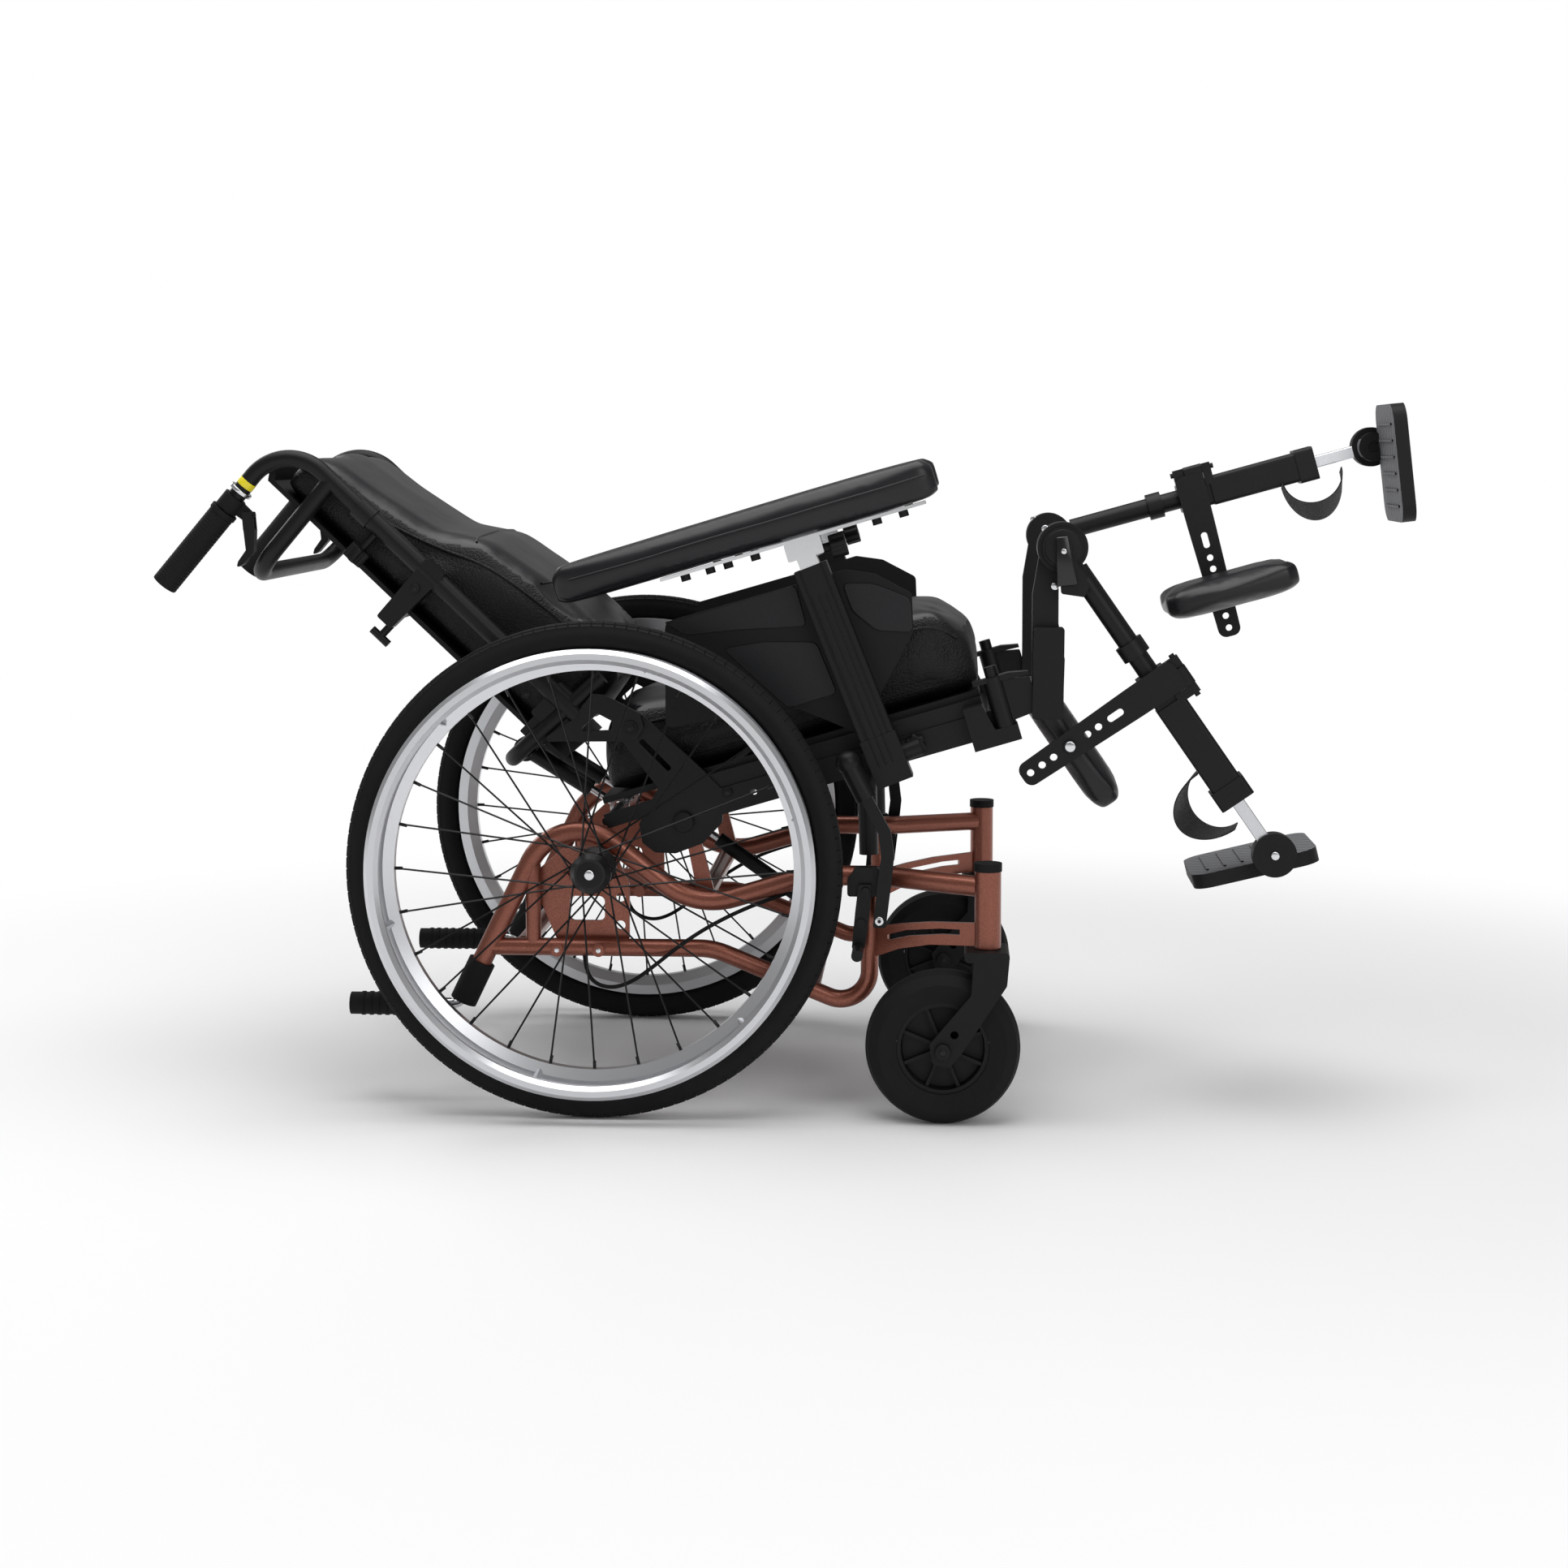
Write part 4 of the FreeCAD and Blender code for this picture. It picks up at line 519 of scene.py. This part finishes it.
# Caster trim: a black axle bolt on each side of the fork, with a hexagon socket in its head.
caster_x = 0.1847
caster_z = 0.094
for side, s in (("right", -1), ("left", 1)):
    for place, y, outward in (("outer", s * 0.333, 1), ("inner", s * 0.257, -1)):
        tip = y + s * 0.0035 * outward
        capped_pin("caster_bolt_%s_%s" % (place, side), (caster_x, y - (tip - y) * 0.4, caster_z),
                   (caster_x, tip, caster_z), 0.0095, 0.0015, nylon, "caster_swivel_" + side,
                   32)
        capped_pin("caster_bolt_socket_%s_%s" % (place, side), (caster_x, y, caster_z),
                   (caster_x, tip + (tip - y) * 0.25, caster_z), 0.0042, 0.0006, wire,
                   "caster_swivel_" + side, 6)

# Heel straps: black polyester webbing, 36 mm wide and 1.6 mm thick, looped behind the heel and sewn at both
# ends. The weave's ribs run across it every 1.2 mm, drawn at 2 mm so that they show.
webbing, coat = new_material("black_polyester_webbing")
where = add_node(webbing, "TexCoord")
scale = add_node(webbing, "Mapping", {"Scale": (18, 130, 1)}, {"Vector": where.outputs["UV"]})
weave = add_node(webbing, "TexWave", {"Scale": 1.0, "Distortion": 0.5, "Detail": 1},
                 {"Vector": scale.outputs["Vector"]}, bands_direction="Y")
bump = add_node(webbing, "Bump", {"Strength": 0.5, "Distance": 0.0006}, {"Height": weave.outputs["Fac"]})
webbing.node_tree.links.new(bump.outputs["Normal"], coat.inputs["Normal"])
coat.inputs["Base Color"].default_value = linear("#121214")
coat.inputs["Roughness"].default_value = 0.82
coat.inputs["Specular IOR Level"].default_value = 0.2
coat.inputs["Sheen Weight"].default_value = 0.25
knee = Vector((0.3287, 0, 0.698))
leg_length = 0.458
for side, s, lean in (("right", -1, -55.3), ("left", 1, 15.5)):
    turn = math.radians(lean)
    down = Vector((math.cos(turn), 0, math.sin(turn)))
    behind = Vector((math.sin(turn), 0, -math.cos(turn)))
    bpy.ops.mesh.primitive_grid_add(x_subdivisions=48, y_subdivisions=6, size=1)
    strap = bpy.context.object
    strap.name = "heel_strap_webbing_" + side
    for vertex in strap.data.vertices:
        half_turn = math.pi * (vertex.co.x + 0.5)
        slant = 0.026 * vertex.co.y * (0.3 + 0.7 * math.sin(half_turn))
        away = 0.018 + 0.047 * math.sin(half_turn) + slant
        where = knee + down * (0.3665 - 0.041 * math.cos(half_turn)) + behind * away
        vertex.co = (where.x, s * (0.203 + 0.029 * vertex.co.y), where.z)
    thick = strap.modifiers.new("thick", "SOLIDIFY")
    thick.thickness = 0.0016
    thick.offset = 0
    bpy.ops.object.modifier_apply(modifier="thick")
    strap.data.materials.append(webbing)
    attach(strap, "leg_" + side)
    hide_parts("heel_strap_" + side)

# Brake cables: 5 mm black housings that leave the rear tube, dip under the axle plate and clip to the tube
# in front.
for side, s in (("right", -1), ("left", 1)):
    data = bpy.data.curves.new("brake_cable_" + side, "CURVE")
    data.dimensions = "3D"
    data.bevel_depth = 0.0025
    data.bevel_resolution = 4
    line = data.splines.new("NURBS")
    route = [(-0.2623, 0.225, 0.1856), (-0.2593, 0.2345, 0.168), (-0.2463, 0.244, 0.154),
             (-0.2243, 0.244, 0.149), (-0.1993, 0.244, 0.158), (-0.1723, 0.244, 0.178),
             (-0.1433, 0.244, 0.202), (-0.1113, 0.244, 0.224), (-0.0763, 0.244, 0.243),
             (-0.0413, 0.2345, 0.257), (-0.0053, 0.225, 0.2686)]
    line.points.add(len(route) - 1)
    for spot, (x, y, z) in zip(line.points, route):
        spot.co = (x, s * y, z, 1)
    line.order_u = 3
    line.use_endpoint_u = True
    line.resolution_u = 8
    cable = bpy.data.objects.new("brake_cable_" + side, data)
    bpy.context.scene.collection.objects.link(cable)
    data.materials.append(rubber)
    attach(cable, "frame")
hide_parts("brake_cables")
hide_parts("brake_cables")

# Side panel trim: a raised band along the top, a raised guard below it and a wing in front of the post, all
# in a grained moulding, glued on the panel sheet. The outlines are in mm, forward of the rear axle and above
# the floor.
grained, coat = new_material("grained_panel_moulding")
place = add_node(grained, "TexCoord")
cells = add_node(grained, "TexVoronoi", {"Scale": 900}, {"Vector": place.outputs["Object"]})
bump = add_node(grained, "Bump", {"Strength": 0.25, "Distance": 0.0003},
                {"Height": cells.outputs["Distance"]})
grained.node_tree.links.new(bump.outputs["Normal"], coat.inputs["Normal"])
coat.inputs["Base Color"].default_value = linear("#131417")
coat.inputs["Roughness"].default_value = 0.42
coat.inputs["Specular IOR Level"].default_value = 0.32
middle_to_axle_mm = 241.3
panel_face = 0.2131
band_outline = [(82, 602), (242, 650), (256, 599), (173, 594), (105, 588)]
guard_outline = [(153, 570), (202, 579), (268, 579), (294, 516), (234, 497)]
wing_outline = [(300, 652), (338, 652), (384, 634), (387, 592), (342, 594), (312, 618)]
for side, s in (("right", -1), ("left", 1)):
    for name, outline, thick in (("panel_band_", band_outline, 0.0022),
                                 ("panel_guard_", guard_outline, 0.0022),
                                 ("panel_wing_", wing_outline, 0.0026)):
        bpy.ops.object.select_all(action="DESELECT")
        bpy.ops.mesh.primitive_circle_add(vertices=len(outline), fill_type="NGON", radius=0.1)
        trim = bpy.context.object
        trim.name = name + side
        for vertex, (x, z) in zip(trim.data.vertices, outline):
            vertex.co = ((x - middle_to_axle_mm) / 1000, s * (panel_face + thick / 2), z / 1000)
        soften = trim.modifiers.new("corners", "BEVEL")
        soften.affect = "VERTICES"
        soften.width = 0.007
        soften.segments = 5
        bpy.ops.object.modifier_apply(modifier="corners")
        solid = trim.modifiers.new("board", "SOLIDIFY")
        solid.thickness = thick
        solid.offset = 0
        bpy.ops.object.modifier_apply(modifier="board")
        soften = trim.modifiers.new("edge", "BEVEL")
        soften.width = thick * 0.35
        soften.segments = 2
        soften.angle_limit = math.radians(60)
        bpy.ops.object.modifier_apply(modifier="edge")
        bpy.ops.object.mode_set(mode="EDIT")
        bpy.ops.mesh.select_all(action="SELECT")
        bpy.ops.mesh.normals_make_consistent(inside=False)
        bpy.ops.object.mode_set(mode="OBJECT")
        trim.data.materials.append(grained)
        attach(trim, "seat")

# Screws of the seat, back and base frame: black socket heads on the black parts, copper-coloured domes on
# the frame tubes and a zinc screw at each brake.
for side, s in (("right", -1), ("left", 1)):
    heads = (("rail_screw", -0.0843, 0.3905, 0.208, 0.0065, nylon, "seat", "black_paint"),
             ("rail_screw_front", 0.062, 0.4337, 0.208, 0.0055, nylon, "seat", "black_paint"),
             ("hinge_screw", -0.2053, 0.471, 0.2175, 0.0062, nylon, "seat", "black_paint"),
             ("cane_screw", -0.336, 0.5125, 0.2085, 0.0058, nylon, "back", "black_paint"),
             ("clamp_screw", -0.4738, 0.6441, 0.2165, 0.006, nylon, "back", "black_paint"),
             ("tube_dome_rear", -0.2953, 0.195, 0.2365, 0.0075, lacquer, "frame", "frame_paint"),
             ("tube_dome_front", -0.2433, 0.195, 0.2365, 0.0075, lacquer, "frame", "frame_paint"),
             ("brake_screw", 0.1067, 0.2412, 0.2695, 0.0056, chrome, "frame", "bright_steel"))
    for name, x, z, y, radius, finish, body, slot in heads:
        capped_pin(name + "_" + side, (x, s * y, z), (x, s * (y + 0.0032), z), radius, 0.0011, finish, body,
                   28)
        capped_pin(name + "_socket_" + side, (x, s * (y + 0.001), z), (x, s * (y + 0.0036), z),
                   radius * 0.45, 0.0003, chrome if finish is lacquer else wire, body, 6)

# Hand knobs: six-lobed black nylon stars, one on each armrest, one on each seat rail and one on each cane.


def star_knob(name, start, end, radius, body):
    # a round knob whose rim swells into six lobes
    knob = capped_pin(name, start, end, radius, 0.0016, nylon, body, 48)
    start = Vector(start)
    axis = (Vector(end) - start).normalized()
    first = axis.orthogonal().normalized()
    second = axis.cross(first)
    for vertex in knob.data.vertices:
        out = vertex.co - start
        out -= axis * out.dot(axis)
        if out.length > radius * 0.6:
            turn = math.atan2(out.dot(second), out.dot(first))
            vertex.co += out * (0.13 * math.cos(6 * turn))
    return knob


for side, s in (("right", -1), ("left", 1)):
    star_knob("armrest_star_knob_" + side, (0.0450, s * 0.2303, 0.6972), (0.0640, s * 0.2303, 0.7028), 0.0138,
              "armrest_" + side)
    star_knob("rail_star_knob_" + side, (0.1500, s * 0.2085, 0.4535), (0.1500, s * 0.2265, 0.4535), 0.0115,
              "seat")
    low = back_spot(0.398, -0.071, s * 0.205)
    high = back_spot(0.398, -0.091, s * 0.205)
    star_knob("cane_star_knob_" + side, low, high, 0.0140, "back")

# Push grips: soft ribbed rubber over the tube, a zinc clamp ring at the hand lever, and a yellow mark ring
# higher on the tube.
yellow, coat = new_material("yellow_marking_film")
place = add_node(yellow, "TexCoord")
mottle = add_node(yellow, "TexNoise", {"Scale": 200}, {"Vector": place.outputs["Object"]})
tint = add_node(yellow, "ValToRGB", links={"Fac": mottle.outputs["Fac"]})
tint.color_ramp.elements[0].color = linear("#D8C616")
tint.color_ramp.elements[1].color = linear("#EADB2E")
yellow.node_tree.links.new(tint.outputs["Color"], coat.inputs["Base Color"])
coat.inputs["Roughness"].default_value = 0.4
fall = Vector((math.cos(math.radians(230)), 0, math.sin(math.radians(230))))
for side, s in (("right", -1), ("left", 1)):
    corner = back_spot(0.564, -0.036, s * 0.205)
    for number in range(26):
        foot = corner + fall * (0.128 + 0.0044 * number)
        capped_pin("grip_rib_%s_%02d" % (side, number), foot, foot + fall * 0.0030, 0.0167, 0.0005, rubber,
                   "push_handle", 40)
    foot = corner + fall * 0.072
    capped_pin("mark_ring_" + side, foot, foot + fall * 0.009, 0.0114, 0.0002, yellow, "push_handle",
               40)
    foot = corner + fall * 0.0855
    capped_pin("lever_clamp_ring_" + side, foot, foot + fall * 0.005, 0.0152, 0.001, chrome, "push_handle",
               40)

# Legrest details: knee dial with its zinc screws, the ankle bolt, the bright square bar and the grey foot
# tread.
tread, coat = new_material("grey_foot_tread_rubber")
place = add_node(tread, "TexCoord")
lines = add_node(tread, "TexWave", {"Scale": 48, "Distortion": 1.2, "Detail": 1},
                 {"Vector": place.outputs["Object"]}, bands_direction="DIAGONAL")
tint = add_node(tread, "ValToRGB", links={"Fac": lines.outputs["Fac"]})
tint.color_ramp.elements[0].color = linear("#47484B")
tint.color_ramp.elements[1].color = linear("#747578")
tread.node_tree.links.new(tint.outputs["Color"], coat.inputs["Base Color"])
bump = add_node(tread, "Bump", {"Strength": 0.4, "Distance": 0.0008}, {"Height": lines.outputs["Fac"]})
tread.node_tree.links.new(bump.outputs["Normal"], coat.inputs["Normal"])
coat.inputs["Roughness"].default_value = 0.6
for side, s, lean, top in (("right", -1, -55.3, (-0.237, 0, 0.971)), ("left", 1, 15.5, (-0.9936, 0, -0.113))):
    turn = math.radians(lean)
    down = Vector((math.cos(turn), 0, math.sin(turn)))
    behind = Vector((math.sin(turn), 0, -math.cos(turn)))
    capped_pin("knee_dial_" + side, (knee.x, s * 0.2515, knee.z), (knee.x, s * 0.2548, knee.z), 0.0225,
               0.0014, nylon, "hanger_" + side, 64)
    capped_pin("knee_dial_boss_" + side, (knee.x, s * 0.2545, knee.z), (knee.x, s * 0.2566, knee.z), 0.0115,
               0.0012, nylon, "hanger_" + side, 40)
    capped_pin("knee_screw_" + side, (knee.x, s * 0.2562, knee.z), (knee.x, s * 0.2582, knee.z), 0.0042,
               0.0007, chrome, "hanger_" + side, 6)
    capped_pin("hanger_screw_" + side, (0.3197, s * 0.2242, 0.650), (0.3197, s * 0.2282, 0.650), 0.0048,
               0.0009, chrome, "hanger_" + side, 28)
    capped_pin("hanger_screw_top_" + side, (0.3080, s * 0.2242, 0.7200), (0.3080, s * 0.2282, 0.7200),
               0.0048, 0.0009, chrome, "hanger_" + side, 28)
    ankle = knee + down * leg_length
    capped_pin("ankle_bolt_" + side, (ankle.x, s * 0.2385, ankle.z), (ankle.x, s * 0.2432, ankle.z), 0.0052,
               0.001, chrome, "foot_bar_" + side, 28)
    bolt = knee + down * 0.205 + behind * 0.130
    plate_out = 0.2505 if s < 0 else 0.2045
    capped_pin("calf_bolt_" + side, (bolt.x, s * plate_out, bolt.z),
               (bolt.x, s * (plate_out + 0.006), bolt.z), 0.0066, 0.0012, chrome, "calf_rest_" + side,
               28)
    nodes["foot_bar_" + side].data.materials.append(anodised)
    for face in nodes["foot_bar_" + side].data.polygons:
        away = Vector(face.center) - Vector((ankle.x, face.center.y, ankle.z))
        face.material_index = 1 if away.length > 0.032 else 0
    nodes["footplate_" + side].data.materials.append(tread)
    for face in nodes["footplate_" + side].data.polygons:
        face.material_index = 1 if face.normal.dot(Vector(top)) > 0.8 else 0

# Knee paddle: the black thumb lever with which the leg's angle is let go, on a zinc pin across the dial.
# The pivot of the tilt has a black cap over its copper pin.
gloss, coat = new_material("glossy_moulded_nylon")
place = add_node(gloss, "TexCoord")
flow = add_node(gloss, "TexNoise", {"Scale": 18, "Detail": 2}, {"Vector": place.outputs["Object"]})
shine = add_node(gloss, "MapRange", {"To Min": 0.16, "To Max": 0.26}, {"Value": flow.outputs["Fac"]})
gloss.node_tree.links.new(shine.outputs["Result"], coat.inputs["Roughness"])
coat.inputs["Base Color"].default_value = linear("#0B0B0C")
for side, s in (("right", -1), ("left", 1)):
    turn = math.radians(-84)
    along = Vector((math.cos(turn), 0, math.sin(turn)))
    across = Vector((-math.sin(turn), 0, math.cos(turn)))
    centre = Vector((knee.x, s * 0.2598, knee.z))
    bpy.ops.mesh.primitive_cube_add(size=1)
    paddle = bpy.context.object
    paddle.name = "knee_paddle_" + side
    for vertex in paddle.data.vertices:
        reach = 0.046 if vertex.co.x > 0 else -0.014
        half = 0.0125 if vertex.co.x > 0 else 0.0075
        lift = 0.0035 if vertex.co.z > 0 else -0.003
        spot = centre + along * reach + across * (2 * vertex.co.y * half)
        vertex.co = (spot.x, spot.y + s * lift, spot.z)
    soften = paddle.modifiers.new("round_edge", "BEVEL")
    soften.width = 0.0022
    soften.segments = 3
    bpy.ops.object.modifier_apply(modifier="round_edge")
    bpy.ops.object.mode_set(mode="EDIT")
    bpy.ops.mesh.select_all(action="SELECT")
    bpy.ops.mesh.normals_make_consistent(inside=False)
    bpy.ops.object.mode_set(mode="OBJECT")
    bpy.ops.object.shade_smooth_by_angle(angle=math.radians(35))
    paddle.data.materials.append(gloss)
    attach(paddle, "hanger_" + side)
    spot = centre + along * 0.004
    capped_pin("knee_paddle_pin_" + side, (spot.x, s * 0.2618, spot.z), (spot.x, s * 0.2650, spot.z),
               0.0034, 0.0006, chrome, "hanger_" + side, 20)
    capped_pin("tilt_pivot_cap_" + side, (-0.1393, s * 0.2125, 0.353), (-0.1393, s * 0.2165, 0.353), 0.0128,
               0.0012, nylon, "frame", 36)

# Armrest posts and sliders: three pressed ribs down each post's outer face, and black studs under the
# bright strip.
post_lean = math.radians(21.7)
climb = Vector((-math.sin(post_lean), 0, math.cos(post_lean)))
across = Vector((math.cos(post_lean), 0, math.sin(post_lean)))
slider_head = Vector((0.0111, 0, 0.6915))
for side, s in (("right", -1), ("left", 1)):
    for number, shift in enumerate((-0.009, 0.0, 0.009)):
        foot = Vector((0.119, s * 0.2467, 0.4202)) + across * shift
        capped_pin("post_rib_%s_%d" % (side, number), foot + climb * 0.012, foot + climb * 0.236, 0.0014,
                   0.0006, powder, "seat", 10)
    slider = nodes["arm_slider_" + side].data
    slider.materials.append(nylon)
    strip_top = max(Vector(vertex.co).dot(seat_up) for vertex in slider.vertices)
    for face in slider.polygons:
        near_post = abs((Vector(face.center) - slider_head).dot(across)) < 0.027
        below_strip = Vector(face.center).dot(seat_up) < strip_top - 0.0045
        face.material_index = 1 if below_strip and not near_post else 0

bpy.context.scene.view_settings.view_transform = "Standard"
